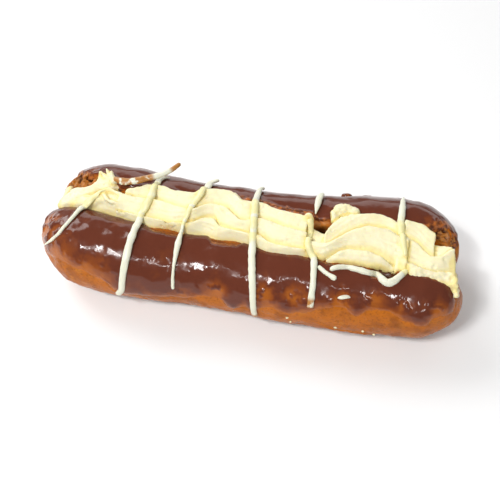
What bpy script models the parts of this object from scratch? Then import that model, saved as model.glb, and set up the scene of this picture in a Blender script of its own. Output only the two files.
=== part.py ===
"""A chocolate eclair: a choux finger slit along its top and opened, with piped cream
standing in the slit, chocolate icing on both halves and strands of white icing across it.

X runs along the finger, the front half lies towards -Y, and the flat base is at z = 0.
Sizes are in millimetres; MM turns them into Blender's metres.
"""

import math
from dataclasses import dataclass

import bmesh
import bpy
import numpy as np

MM = 0.001

# Driving dimensions
LENGTH = 169.0
SEAT = 0.96  # height of a half's centre line, as a share of its girth radius
TIP_POWER = 2.3  # how blunt the tips are
CLEARANCE = 0.4  # gap kept between neighbouring pieces
ICING_GAP = 0.6
ICING_THICKNESS = 0.8
STRAND_WIDTH = 2.7
STRAND_HEIGHT = 1.5
SLIT_FLOOR = 9.0
SLIT_FLOOR_HALF_WIDTH = 3.5
SLIT_TOP = 42.0
SLIT_TOP_HALF_WIDTH = 9.4
SLIT_FLOOR_ROUND = 1.5
SLIT_OVERRUN = 5.0  # how far the cut runs out past each tip
SLIT_STATIONS = 28
WEB_HALF_WIDTH = 14.0
WEB_HALF_HEIGHT = 5.4
WEB_HALF_LENGTH = 81.0
WEB_ROUND = 20.0
WEB_CENTRE = 4.4
WEB_STATIONS = 24
WEB_SIDES = 16
HEART_HEIGHT = 12.0  # height of the line that the icing strands are laid around

AROUND = 24  # points round a half of the choux
ALONG = 40  # sections along it


@dataclass(frozen=True)
class Half:
    """One half of the slit finger: its tips, how far in they start to round, its bends and girth."""

    left: float
    right: float
    left_round: float
    right_round: float
    bends: tuple  # (x, y) points of its centre line
    girths: tuple  # (x, radius)


FRONT = Half(
    left=-LENGTH / 2,
    right=LENGTH / 2,
    left_round=23.0,
    right_round=19.0,
    bends=((-85, -6.9), (-66, -12.0), (-46, -14.0), (-22, -12.9), (20, -14.3), (60, -12.9), (85, -10.7)),
    girths=((-85, 15.4), (-55, 15.4), (-20, 14.6), (60, 14.8), (85, 14.8)),
)
BACK = Half(
    left=-82.8,
    right=83.1,
    left_round=21.0,
    right_round=20.0,
    bends=((-82, 12.3), (-60, 13.3), (-28, 12.3), (10, 12.3), (40, 14.3), (60, 15.2), (85, 12.9)),
    girths=((-82, 15.5), (-60, 15.9), (-20, 14.8), (10, 14.8), (60, 16.3), (85, 15.4)),
)

# The cream, seen from above: its two long edges and the two valleys between its three piped ropes
CREAM_FRONT_EDGE = (
    (-79, -1.1), (-62, -2.3), (-46, -5.9), (-28, -7.4), (-5, -8.0),
    (12, -12.1), (44, -10.9), (56, -13.7), (80, -13.5),
)
CREAM_BACK_EDGE = (
    (-68, 10.4), (-58, 10.9), (-47, 8.7), (-38, 10.9), (-27, 9.3), (-12, 12.5),
    (2, 8.9), (25, 4.5), (36, 12.3), (60, 9.5), (76, 5.5),
)
FRONT_VALLEY = (
    (-79, 0.9), (-40, -4.5), (-26, -5.7), (-16, -0.8), (-9, -4.7), (5, -6.1),
    (24, -9.3), (31, -11.1), (41, -6.9), (61, -10.5), (80, -10.1),
)
BACK_VALLEY = (
    (-79, 4.9), (-38, 3.7), (-24, 0.5), (-13, 4.6), (-3, -1.4), (5, 1.1),
    (28, -5.5), (48, 5.0), (70, -3.7), (80, -3.1),
)
CREAM_LEFT = -78.5  # where the cream starts on the front side; the back side starts later
CREAM_RIGHT = 79.5
CREAM_LEFT_SLANT = 9.0
CREAM_RIGHT_SLANT = 7.0
CREAM_END_ROUND = 7.0
CREAM_END_DROP = 6.0
EDGE_THICKNESS = 0.6
CREAM_HEIGHTS = (31.2, 32.6, 33.4, 30.8)  # at the front edge, the two valleys and the back edge
ROPE_RISE = 1.5
ROPE_FULLNESS = 2.4  # how square a rope's back is across
POINTS_PER_ROPE = 5
CREAM_STATIONS = 46
CREAM_SIDE_HEIGHTS = (14.0, 7.0, 1.9)  # above the slit's floor, where the cream follows its walls
RIM_HEIGHT = 18.0  # above the slit's floor, where its walls meet the cream's underside

# Where the icing stops on each half, in degrees round it from the back (0) over the top (90)
FRONT_ICING_DRIP = (190.0, 9.0, 37.0)  # lower edge, its waviness and the length of a wave
BACK_ICING_DRIP = (0.0, 7.0, 41.0)
ICING_POINTS = 9
ICING_STATIONS = 32
ICING_END_INSET = 3.5
ICING_INSET_ANGLE = 5.0  # degrees between the icing's upper edge and the cream
ICING_RIM = 28.0  # height at which the slit's walls are measured for the icing's upper edge

# Each strand of white icing: its waypoints as (x, degrees round the heart line), then its width
STRANDS = {
    "white_strand_1": (((-60.0, 82.0), (-70.0, 128.0), (-79.0, 156.0)), 2.0),
    "white_strand_2": (((-36.0, 38.0), (-42.0, 80.0), (-43.0, 130.0), (-45.5, 182.0)), STRAND_WIDTH),
    "white_strand_3": (((-18.5, 38.0), (-23.0, 80.0), (-22.8, 130.0), (-24.0, 168.0)), STRAND_WIDTH),
    "white_strand_4": (((2.8, 33.0), (0.0, 75.0), (3.0, 130.0), (6.0, 184.0)), STRAND_WIDTH),
    "white_strand_5": (((25.4, 38.0), (24.8, 64.0)), 2.2),
    "white_strand_6": (((23.2, 84.0), (24.0, 110.0), (28.0, 135.0), (28.4, 163.0)), STRAND_WIDTH),
    "white_strand_7": (((57.5, 37.0), (57.8, 60.0), (60.5, 96.0)), 2.3),
    "white_strand_8": (((62.0, 128.0), (56.0, 137.0), (50.0, 131.0), (37.0, 130.0), (33.0, 135.0)), 2.4),
}
RAISED_STRAND = (
    (-57.2, 10.4, 35.4), (-52.5, 9.6, 35.3), (-48.4, 10.4, 35.3),
    (-44.5, 12.0, 35.5), (-38.6, 15.0, 36.3), (-32.1, 20.5, 37.4),
)
STRAND_SIDES = 6
STRAND_STEP = 3.4
STRAND_POINTS = 40  # places along a strand where the skin below it is felt for
STRAND_TIP = 0.6  # width of a strand's ends, as a share of its full width

COLOURS = {
    "choux": ((0.42, 0.17, 0.045), 0.55),
    "cream": ((0.90, 0.82, 0.52), 0.60),
    "chocolate": ((0.10, 0.032, 0.018), 0.22),
    "white_icing": ((0.84, 0.82, 0.66), 0.45),
}


def smooth(points, x):
    """A curve through (x, value) points that doesn't overshoot them."""
    xs, values = np.array(points, float).T
    x = np.clip(x, xs[0], xs[-1])
    step = np.diff(xs)
    slope = np.diff(values) / step
    tangent = np.zeros_like(values)
    same_way = slope[:-1] * slope[1:] > 0
    sums = np.where(same_way, slope[:-1] + slope[1:], 1.0)
    tangent[1:-1] = np.where(same_way, 2 * slope[:-1] * slope[1:] / sums, 0.0)
    i = np.clip(np.searchsorted(xs, x, side="right") - 1, 0, len(xs) - 2)
    t = (x - xs[i]) / step[i]
    ends = (2 * t**3 - 3 * t**2 + 1) * values[i] + (3 * t**2 - 2 * t**3) * values[i + 1]
    return ends + step[i] * ((t**3 - 2 * t**2 + t) * tangent[i] + (t**3 - t**2) * tangent[i + 1])


def tip_scale(half, x):
    """How much of its full girth a half has left near its rounded tips."""
    from_left = (half.left + half.left_round - x) / half.left_round
    from_right = (x - half.right + half.right_round) / half.right_round
    q = min(max(from_left, from_right, 0.0), 1.0)
    return math.sqrt(1.0 - q**TIP_POWER)


def section(half, x):
    """Centre y, centre z and radius of a half's round section at x."""
    radius = float(smooth(half.girths, x))
    return float(smooth(half.bends, x)), SEAT * radius, radius * tip_scale(half, x)


def middle(x):
    """The y of the slit's middle."""
    return (section(FRONT, x)[0] + section(BACK, x)[0]) / 2


def slit_half_width(z):
    """Half the slit's width at a height."""
    share = (z - SLIT_FLOOR) / (SLIT_TOP - SLIT_FLOOR)
    return SLIT_FLOOR_HALF_WIDTH + share * (SLIT_TOP_HALF_WIDTH - SLIT_FLOOR_HALF_WIDTH)


def dense_at_ends(start, end, count):
    """Stations from start to end, closer together towards both."""
    share = (1 - np.cos(np.linspace(0, math.pi, count))) / 2
    even = np.linspace(0, 1, count)
    return start + (end - start) * (share + even) / 2


def material(name):
    """The plain material for a slot, made the first time it is asked for."""
    found = bpy.data.materials.get(name)
    if found:
        return found
    made = bpy.data.materials.new(name)
    made.use_nodes = True
    shader = made.node_tree.nodes["Principled BSDF"]
    colour, roughness = COLOURS[name]
    shader.inputs["Base Color"].default_value = (*colour, 1.0)
    shader.inputs["Roughness"].default_value = roughness
    shader.inputs["Metallic"].default_value = 0.0
    return made


def loft(name, rings, finish, first_cap=None, last_cap=None):
    """A closed body through rings of points, each end shut by a fan round its cap point."""
    bm = bmesh.new()
    loops = [[bm.verts.new([c * MM for c in point]) for point in ring] for ring in rings]
    for a, b in zip(loops, loops[1:]):
        for i in range(len(a)):
            j = (i + 1) % len(a)
            bm.faces.new((a[i], a[j], b[j], b[i]))
    for loop, cap, ring in ((loops[0], first_cap, rings[0]), (loops[-1], last_cap, rings[-1])):
        centre = np.mean(np.array(ring), axis=0) if cap is None else cap
        tip = bm.verts.new([c * MM for c in centre])
        for i in range(len(loop)):
            bm.faces.new((loop[i], loop[(i + 1) % len(loop)], tip))
    bmesh.ops.recalc_face_normals(bm, faces=bm.faces)
    mesh = bpy.data.meshes.new(name)
    bm.to_mesh(mesh)
    bm.free()
    mesh.materials.append(material(finish))
    mesh.shade_smooth()
    mesh.set_sharp_from_angle(angle=math.radians(50))
    body = bpy.data.objects.new(name, mesh)
    bpy.context.scene.collection.objects.link(body)
    return body


def half_rings(half):
    """Sections of one half, flattened where it rests."""
    rings = []
    for x in dense_at_ends(half.left, half.right, ALONG)[1:-1]:
        y, z, radius = section(half, x)
        angles = np.linspace(0, 2 * math.pi, AROUND, endpoint=False)
        rings.append([(x, y + radius * math.cos(a), max(z + radius * math.sin(a), 0.0)) for a in angles])
    return rings


def half_body(name, half):
    """One whole half, before the slit is cut."""
    left = (half.left, section(half, half.left)[0], section(half, half.left)[1])
    right = (half.right, section(half, half.right)[0], section(half, half.right)[1])
    return loft(name, half_rings(half), "choux", left, right)


def web_body():
    """The uncut choux underneath, flat where it rests, which still joins the two halves."""
    rings = []
    for x in dense_at_ends(-WEB_HALF_LENGTH, WEB_HALF_LENGTH, WEB_STATIONS)[1:-1]:
        q = max((abs(x) - WEB_HALF_LENGTH + WEB_ROUND) / WEB_ROUND, 0.0)
        full = math.sqrt(1.0 - q * q)
        ring = []
        for a in np.linspace(0, 2 * math.pi, WEB_SIDES, endpoint=False):
            y = middle(x) + WEB_HALF_WIDTH * full * math.cos(a)
            ring.append((x, y, max(WEB_CENTRE + WEB_HALF_HEIGHT * full * math.sin(a), 0.0)))
        rings.append(ring)
    return loft("web", rings, "choux")


def slit_cutter():
    """The space that the knife opened, from the floor of the slit up and out of both ends."""
    rings = []
    reach = LENGTH / 2 + SLIT_OVERRUN
    low = SLIT_FLOOR + SLIT_FLOOR_ROUND
    for x in np.linspace(-reach, reach, SLIT_STATIONS):
        outline = [
            (SLIT_FLOOR_HALF_WIDTH * 0.5, SLIT_FLOOR),
            (slit_half_width(low), low),
            (slit_half_width(SLIT_TOP), SLIT_TOP),
        ]
        outline += [(-y, z) for y, z in reversed(outline)]
        rings.append([(x, middle(x) + y, z) for y, z in outline])
    return loft("slit", rings, "choux")


def boolean(target, tool, operation):
    """Joins or cuts target with tool, and keeps the tool hidden as its guide."""
    change = target.modifiers.new(f"{operation.lower()} {tool.name}", "BOOLEAN")
    change.operation = operation
    change.solver = "EXACT"
    change.object = tool
    tool.hide_render = True
    tool.display_type = "WIRE"


def build_choux():
    """The two halves and the web between them as one body, with the slit cut out."""
    choux = half_body("choux", FRONT)
    boolean(choux, half_body("back_half", BACK), "UNION")
    boolean(choux, web_body(), "UNION")
    boolean(choux, slit_cutter(), "DIFFERENCE")


def cream_lines(x):
    """The y of the cream's front edge, its two valleys and its back edge at x."""
    lines = (CREAM_FRONT_EDGE, FRONT_VALLEY, BACK_VALLEY, CREAM_BACK_EDGE)
    return [float(smooth(line, x)) for line in lines]


def cream_top(x, y):
    """Height of the cream's surface, or None beside it."""
    lines = cream_lines(x)
    if not lines[0] - 0.01 <= y <= lines[3] + 0.01:
        return None
    rope = 0 if y < lines[1] else 1 if y < lines[2] else 2
    w = min(max((y - lines[rope]) / (lines[rope + 1] - lines[rope]), 0.0), 1.0)
    low, high = CREAM_HEIGHTS[rope], CREAM_HEIGHTS[rope + 1]
    return low + (high - low) * w + ROPE_RISE * (1 - abs(2 * w - 1) ** ROPE_FULLNESS)


def clear_of_halves(y, x):
    """Height just above the choux at a point beside the slit."""
    heights = [0.0]
    for half in (FRONT, BACK):
        centre, z, radius = section(half, x)
        reach = (radius + CLEARANCE) ** 2 - (y - centre) ** 2
        if reach > 0:
            heights.append(z + math.sqrt(reach))
    return max(heights)


def end_drop(x):
    """How much lower the cream is near its rounded ends."""
    inwards = min(x - CREAM_LEFT, CREAM_RIGHT - x) / CREAM_END_ROUND
    q = min(max(1.0 - inwards, 0.0), 1.0)
    return CREAM_END_DROP * (1.0 - math.sqrt(1.0 - q**2))


def cream_outline(x):
    """The cream's outline at x: over its ropes, then back along the choux and round the slit."""
    lines = cream_lines(x)
    places = []
    for rope in range(3):
        gap = (lines[rope + 1] - lines[rope]) / POINTS_PER_ROPE
        places += [lines[rope] + gap * step for step in range(POINTS_PER_ROPE)]
    places.append(lines[3])
    top = []
    for y in places:
        height = cream_top(x, y) - end_drop(x)
        top.append((y, max(height, clear_of_halves(y, x) + EDGE_THICKNESS)))
    return top + under_side(x, lines[3], 1) + under_side(x, lines[0], -1)[::-1]


def under_side(x, edge, side):
    """From the cream's edge on one side, in over the choux to the slit and down to its floor."""
    wall = CLEARANCE * 1.2
    rim = middle(x) + side * (slit_half_width(SLIT_FLOOR + RIM_HEIGHT) - wall)
    points = []
    for share in (0.0, 0.5, 1.0):
        y = edge + (rim - edge) * share
        points.append((y, clear_of_halves(y, x)))
    for height in CREAM_SIDE_HEIGHTS:
        z = SLIT_FLOOR + height
        points.append((middle(x) + side * (slit_half_width(z) - wall), z))
    points.append((middle(x) + side * (SLIT_FLOOR_HALF_WIDTH * 0.5 - wall / 2), SLIT_FLOOR + wall))
    return points


def slanted(share, y):
    """The x of a station at a y: the cream's ends are slanted, so its back side is shorter."""
    back = min(max((y + 1.0) / 12.0, 0.0), 1.0)
    left = CREAM_LEFT + CREAM_LEFT_SLANT * back
    right = CREAM_RIGHT - CREAM_RIGHT_SLANT * back
    return left + (right - left) * share


def build_cream():
    """The piped cream: three ropes side by side, standing in the slit and over its lips."""
    rings = []
    for share in dense_at_ends(0.0, 1.0, CREAM_STATIONS):
        ring = []
        for i, (rough_y, _) in enumerate(cream_outline(slanted(share, 0.0))):
            x = slanted(share, rough_y)
            y, z = cream_outline(x)[i]
            ring.append((x, y, z))
        rings.append(ring)
    loft("cream", rings, "cream")


def cream_edge_angle(half, x, edge):
    """Degrees round a half at which the cream's edge lies on it."""
    y, _, radius = section(half, x)
    if half is BACK:
        place = max(edge, middle(x) + slit_half_width(ICING_RIM))
    else:
        place = min(edge, middle(x) - slit_half_width(ICING_RIM))
    share = min(max((place - y) / max(radius, 1.0), -0.8), 0.8)
    return math.degrees(math.acos(share))


def icing_edges(half, x):
    """First and last angle, in degrees, that the icing covers at x."""
    if half is FRONT:
        low, wave, length = FRONT_ICING_DRIP
        start = cream_edge_angle(half, x, cream_lines(x)[0]) + ICING_INSET_ANGLE
    else:
        low, wave, length = BACK_ICING_DRIP
        start = cream_edge_angle(half, x, cream_lines(x)[-1]) - ICING_INSET_ANGLE
    ripple = math.sin(2 * math.pi * x / length) + 0.6 * math.sin(2 * math.pi * x / (0.43 * length) + 1.0)
    return start, low + wave * ripple


def build_icing(name, half):
    """A thin curved shell of icing that follows one half, from the cream down to its drips."""
    rings = []
    for x in dense_at_ends(half.left + ICING_END_INSET, half.right - ICING_END_INSET, ICING_STATIONS):
        y, z, radius = section(half, x)
        start, end = (math.radians(a) for a in icing_edges(half, x))
        inner, outer = radius + ICING_GAP, radius + ICING_GAP + ICING_THICKNESS
        over = [(outer, a) for a in np.linspace(start, end, ICING_POINTS)]
        under = [(inner, a) for a in np.linspace(end, start, ICING_POINTS)]
        rings.append([(x, y + r * math.cos(a), z + r * math.sin(a)) for r, a in over + under])
    loft(name, rings, "chocolate", middle_of_shell(rings[0]), middle_of_shell(rings[-1]))


def middle_of_shell(ring):
    """The point half-way through the shell, half-way round it."""
    count = len(ring) // 2
    return (np.array(ring[count // 2]) + np.array(ring[-1 - count // 2])) / 2


def skin_radius(x, angle):
    """How far the outermost surface is from the heart line at x, in a direction in degrees."""
    direction = np.array((math.cos(math.radians(angle)), math.sin(math.radians(angle))))
    heart = np.array((middle(x), HEART_HEIGHT))
    reach = 8.0
    for half in (FRONT, BACK):
        y, z, radius = section(half, x)
        centre = np.array((y, z)) - heart
        along = float(centre @ direction)
        inside = along**2 - float(centre @ centre) + (radius + ICING_GAP + ICING_THICKNESS) ** 2
        if inside > 0:
            reach = max(reach, along + math.sqrt(inside))
    for distance in np.arange(12.0, 40.0, 0.2):
        y, z = heart + direction * distance
        top = cream_top(x, y) if CREAM_LEFT < x < CREAM_RIGHT else None
        if top is not None and z < top:
            reach = max(reach, distance)
    return reach


def strand_path(waypoints):
    """Points along a strand that lies on the skin, each with its outward direction."""
    count = len(waypoints)
    shares = np.linspace(0, count - 1, STRAND_POINTS)
    xs = smooth([(i, p[0]) for i, p in enumerate(waypoints)], shares)
    angles = smooth([(i, p[1]) for i, p in enumerate(waypoints)], shares)
    radii = np.array([skin_radius(x, a) for x, a in zip(xs, angles)])
    held = np.array([radii[max(i - 2, 0) : i + 3].max() for i in range(len(radii))])
    lift = held + CLEARANCE + STRAND_HEIGHT / 2
    points = []
    for x, angle, reach in zip(xs, angles, lift):
        turn = math.radians(angle)
        points.append((x, middle(x) + reach * math.cos(turn), HEART_HEIGHT + reach * math.sin(turn)))
    outward = [(0.0, math.cos(math.radians(a)), math.sin(math.radians(a))) for a in angles]
    return thinned(np.array(points), np.array(outward))


def thinned(points, outward):
    """The same path with about STRAND_STEP between its points."""
    length = np.concatenate([[0.0], np.cumsum(np.linalg.norm(np.diff(points, axis=0), axis=1))])
    places = np.linspace(0, length[-1], max(4, round(length[-1] / STRAND_STEP)))
    path = [np.interp(places, length, points[:, i]) for i in range(3)]
    out = [np.interp(places, length, outward[:, i]) for i in range(3)]
    return np.array(path).T, np.array(out).T


def build_strand(name, path, outward, width):
    """A flattened rope of icing along a path, slimmer at its two ends."""
    along = np.gradient(path, axis=0)
    along /= np.linalg.norm(along, axis=1)[:, None]
    across = np.cross(along, outward)
    across /= np.linalg.norm(across, axis=1)[:, None]
    up = np.cross(across, along)
    rings = []
    for i, point in enumerate(path):
        slim = STRAND_TIP if i in (0, len(path) - 1) else 1.0
        ring = []
        for a in np.linspace(0, 2 * math.pi, STRAND_SIDES, endpoint=False):
            side = across[i] * math.cos(a) * width / 2
            rise = up[i] * math.sin(a) * STRAND_HEIGHT / 2
            ring.append(tuple(point + (side + rise) * slim))
        rings.append(ring)
    loft(name, rings, "white_icing")


def build_strands():
    """Every strand that lies on the eclair, then the one that stands up off it."""
    for name, (waypoints, width) in STRANDS.items():
        path, outward = strand_path(waypoints)
        build_strand(name, path, outward, width)
    path, _ = thinned(np.array(RAISED_STRAND), np.array(RAISED_STRAND))
    build_strand("white_strand_raised", path, np.tile((0.0, 0.0, 1.0), (len(path), 1)), STRAND_WIDTH)


def main():
    """Clears the scene and builds every piece."""
    for old in list(bpy.data.objects):
        bpy.data.objects.remove(old)
    build_choux()
    build_cream()
    build_icing("icing_front", FRONT)
    build_icing("icing_back", BACK)
    build_strands()


main()
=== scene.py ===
"""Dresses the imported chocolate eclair: baked choux, chocolate icing, piped cream and white icing.

Shapes are worked out in millimetres in the part's own frame, X along the finger and the
front half towards -Y, and MM turns them into metres when a mesh is made.
"""

from __future__ import annotations

import logging
import math
from dataclasses import dataclass
from enum import Enum

import bpy
import numpy as np
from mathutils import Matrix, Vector, noise
from mathutils.bvhtree import BVHTree


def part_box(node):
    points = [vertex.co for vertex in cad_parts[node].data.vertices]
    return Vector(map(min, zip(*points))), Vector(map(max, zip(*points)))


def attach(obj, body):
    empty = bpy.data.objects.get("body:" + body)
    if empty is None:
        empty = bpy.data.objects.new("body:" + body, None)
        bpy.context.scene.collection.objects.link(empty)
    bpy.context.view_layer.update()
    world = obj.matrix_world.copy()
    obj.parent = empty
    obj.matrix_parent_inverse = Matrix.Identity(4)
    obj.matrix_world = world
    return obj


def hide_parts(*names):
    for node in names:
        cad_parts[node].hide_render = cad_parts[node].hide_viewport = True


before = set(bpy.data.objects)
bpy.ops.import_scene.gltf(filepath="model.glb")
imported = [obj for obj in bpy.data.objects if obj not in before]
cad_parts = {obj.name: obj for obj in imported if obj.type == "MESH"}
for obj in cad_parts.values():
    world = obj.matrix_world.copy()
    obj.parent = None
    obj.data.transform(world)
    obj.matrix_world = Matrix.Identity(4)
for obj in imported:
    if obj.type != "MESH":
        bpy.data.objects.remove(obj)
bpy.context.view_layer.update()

LOG = logging.getLogger("eclair")
MM = 0.001

Array = np.ndarray
Line = tuple[tuple[float, float], ...]
Waypoints = tuple[tuple[float, ...], ...]
Band = tuple[float, float]
Triple = tuple[float, float, float]
Socket = bpy.types.NodeSocket
Source = Socket | float | Triple


class Slot(Enum):
    """The record's material slots."""

    CHOUX = "choux"
    CREAM = "cream"
    CHOCOLATE = "chocolate"
    WHITE_ICING = "white_icing"


class Tip(Enum):
    """How a strand of icing ends, and over how many millimetres."""

    POINTED = 6.0
    ROUND = 1.1
    BLUNT = 0.35


# ---------------------------------------------------------------- small tools


def smooth(points: Line, x: Array | float) -> Array:
    """A curve through (x, value) points that doesn't overshoot them.

    Args:
        points: the points, from the lowest x to the highest.
        x: where the curve is read; it stays level beyond both ends.

    Returns:
        The curve's value at each x.
    """
    xs, values = np.array(points, float).T
    x = np.clip(x, xs[0], xs[-1])
    step = np.diff(xs)
    slope = np.diff(values) / step
    tangent = np.zeros_like(values)
    same_way = slope[:-1] * slope[1:] > 0
    total = np.where(same_way, slope[:-1] + slope[1:], 1.0)
    tangent[1:-1] = np.where(same_way, 2 * slope[:-1] * slope[1:] / total, 0.0)
    i = np.clip(np.searchsorted(xs, x, side="right") - 1, 0, len(xs) - 2)
    t = (x - xs[i]) / step[i]
    ends = (2 * t**3 - 3 * t**2 + 1) * values[i] + (3 * t**2 - 2 * t**3) * values[i + 1]
    return ends + step[i] * ((t**3 - 2 * t**2 + t) * tangent[i] + (t**3 - t**2) * tangent[i + 1])


def blend_min(a: Array, b: Array, reach: float) -> Array:
    """The lower of a and b, with the crease between them rounded over reach."""
    h = np.clip(0.5 + 0.5 * (b - a) / reach, 0.0, 1.0)
    return b + (a - b) * h - reach * h * (1.0 - h)


def blend_max(a: Array, b: Array, reach: float) -> Array:
    """The higher of a and b, with the crease between them rounded over reach."""
    return -blend_min(-a, -b, reach)


def ramp(value: Array, low: float, high: float) -> Array:
    """An even rise from 0 at low to 1 at high, eased at both ends."""
    t = np.clip((value - low) / (high - low), 0.0, 1.0)
    return t * t * (3.0 - 2.0 * t)


def hump(distance: Array, width: float) -> Array:
    """1 at no distance, falling softly to 0 within a few widths."""
    return np.exp(-((distance / width) ** 2))


def turned(points: Array) -> Array:
    """The unit direction of each row."""
    return points / np.maximum(np.linalg.norm(points, axis=-1, keepdims=True), 1e-9)


def lengths(points: Array) -> Array:
    """How far along a path each of its points is."""
    steps = np.linalg.norm(np.diff(points, axis=0), axis=1)
    return np.concatenate([[0.0], np.cumsum(steps)])


def pores(points: Array, size: float) -> Array:
    """How near the closest pore is.

    Args:
        points: where it is read.
        size: about how far apart the pores are, in millimetres.

    Returns:
        The distance at each point, in sizes and less than 0, so that it's highest at a pore.
    """
    p = points.reshape(-1, 3) / size
    found = [noise.voronoi(q)[0][0] for q in p.tolist()]
    return -np.array(found).reshape(points.shape[:-1])


@dataclass(frozen=True)
class Grain:
    """Soft lumps: their height and size in millimetres, finer layers, and place in the pattern."""

    height: float
    size: float
    octaves: int = 3
    shift: float = 0.0

    def at(self, points: Array, shift: float = 0.0) -> Array:
        """The lumps' height, which goes about as far below 0 as above it.

        Args:
            points: where they are read.
            shift: a further step through the pattern.

        Returns:
            The height at each point.
        """
        p = points.reshape(-1, 3) / self.size + (self.shift + shift)
        found = [noise.fractal(q, 1.0, 2.0, self.octaves) for q in p.tolist()]
        return self.height * np.array(found).reshape(points.shape[:-1])


def add_object(name: str, data: bpy.types.ID) -> bpy.types.Object:
    """Puts a new object in the scene.

    Args:
        name: its name.
        data: its mesh, lamp or camera.

    Returns:
        The object.
    """
    made = bpy.data.objects.new(name, data)
    bpy.context.scene.collection.objects.link(made)
    return made


def store_value(mesh: bpy.types.Mesh, key: str, value: Array) -> None:
    """Keeps a number at each point of a mesh."""
    layer = mesh.attributes.new(key, "FLOAT", "POINT")
    layer.data.foreach_set("value", value.astype(np.float32))


def add_piece(
    name: str, points: Array, faces: list, finish: bpy.types.Material, values: dict[str, Array]
) -> bpy.types.Object:
    """Makes a smooth-shaded mesh object.

    Args:
        name: the piece's name.
        points: its points, in millimetres.
        faces: the points of each face.
        finish: its material.
        values: numbers kept at each point for the finish to read.

    Returns:
        The piece, in the scene.
    """
    mesh = bpy.data.meshes.new(name)
    mesh.from_pydata((points * MM).tolist(), [], faces)
    mesh.validate()
    mesh.shade_smooth()
    mesh.materials.append(finish)
    for key, value in values.items():
        store_value(mesh, key, value)
    return add_object(name, mesh)


def add_skin(
    name: str, points: Array, faces: Array, finish: bpy.types.Material, values: dict[str, Array]
) -> bpy.types.Object:
    """Makes a piece from a surface, without the points that no face uses.

    Args:
        name: the piece's name.
        points: the surface's points, in millimetres.
        faces: the four points of each face.
        finish: its material.
        values: numbers kept at each point for the finish to read.

    Returns:
        The piece, in the scene.
    """
    used = np.unique(faces)
    number = np.full(len(points), -1)
    number[used] = np.arange(len(used))
    kept = {key: value[used] for key, value in values.items()}
    return add_piece(name, points[used], number[faces].tolist(), finish, kept)


def tube_faces(rings: int, sides: int) -> list:
    """The four-sided faces between rings of points.

    Args:
        rings: how many rings there are.
        sides: how many points each has.

    Returns:
        The points of each face, with the rings numbered one after another.
    """
    index = np.arange(rings * sides).reshape(rings, sides)
    after = np.roll(index, -1, axis=1)
    return np.stack([index[:-1], after[:-1], after[1:], index[1:]], -1).reshape(-1, 4).tolist()


def settle(piece: bpy.types.Object, slot: Slot, *nodes: str) -> bpy.types.Object:
    """Puts a finished piece on the part's one body and says what it stands for.

    Args:
        piece: the piece.
        slot: its material slot; not used.
        nodes: the nodes it takes the place of, or none for a small extra.

    Returns:
        The same piece.
    """
    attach(piece, "root")
    if nodes:
        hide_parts(*nodes)
    LOG.info("%s: %d faces, for %s", piece.name, len(piece.data.polygons), nodes or "detail")
    return piece


# ---------------------------------------------------------------- finishes


@dataclass(frozen=True)
class Patches:
    """Soft patches in a finish: their size, where they begin and are full, and their strength."""

    size: float
    low: float
    high: float
    most: float = 1.0
    least: float = 0.0
    detail: float = 3.0
    rough: float = 0.5


@dataclass(frozen=True)
class Relief:
    """Small relief in a finish: its size and depth in millimetres, and how strongly it shows."""

    size: float
    depth: float
    strength: float
    detail: float = 3.0
    rough: float = 0.5


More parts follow.
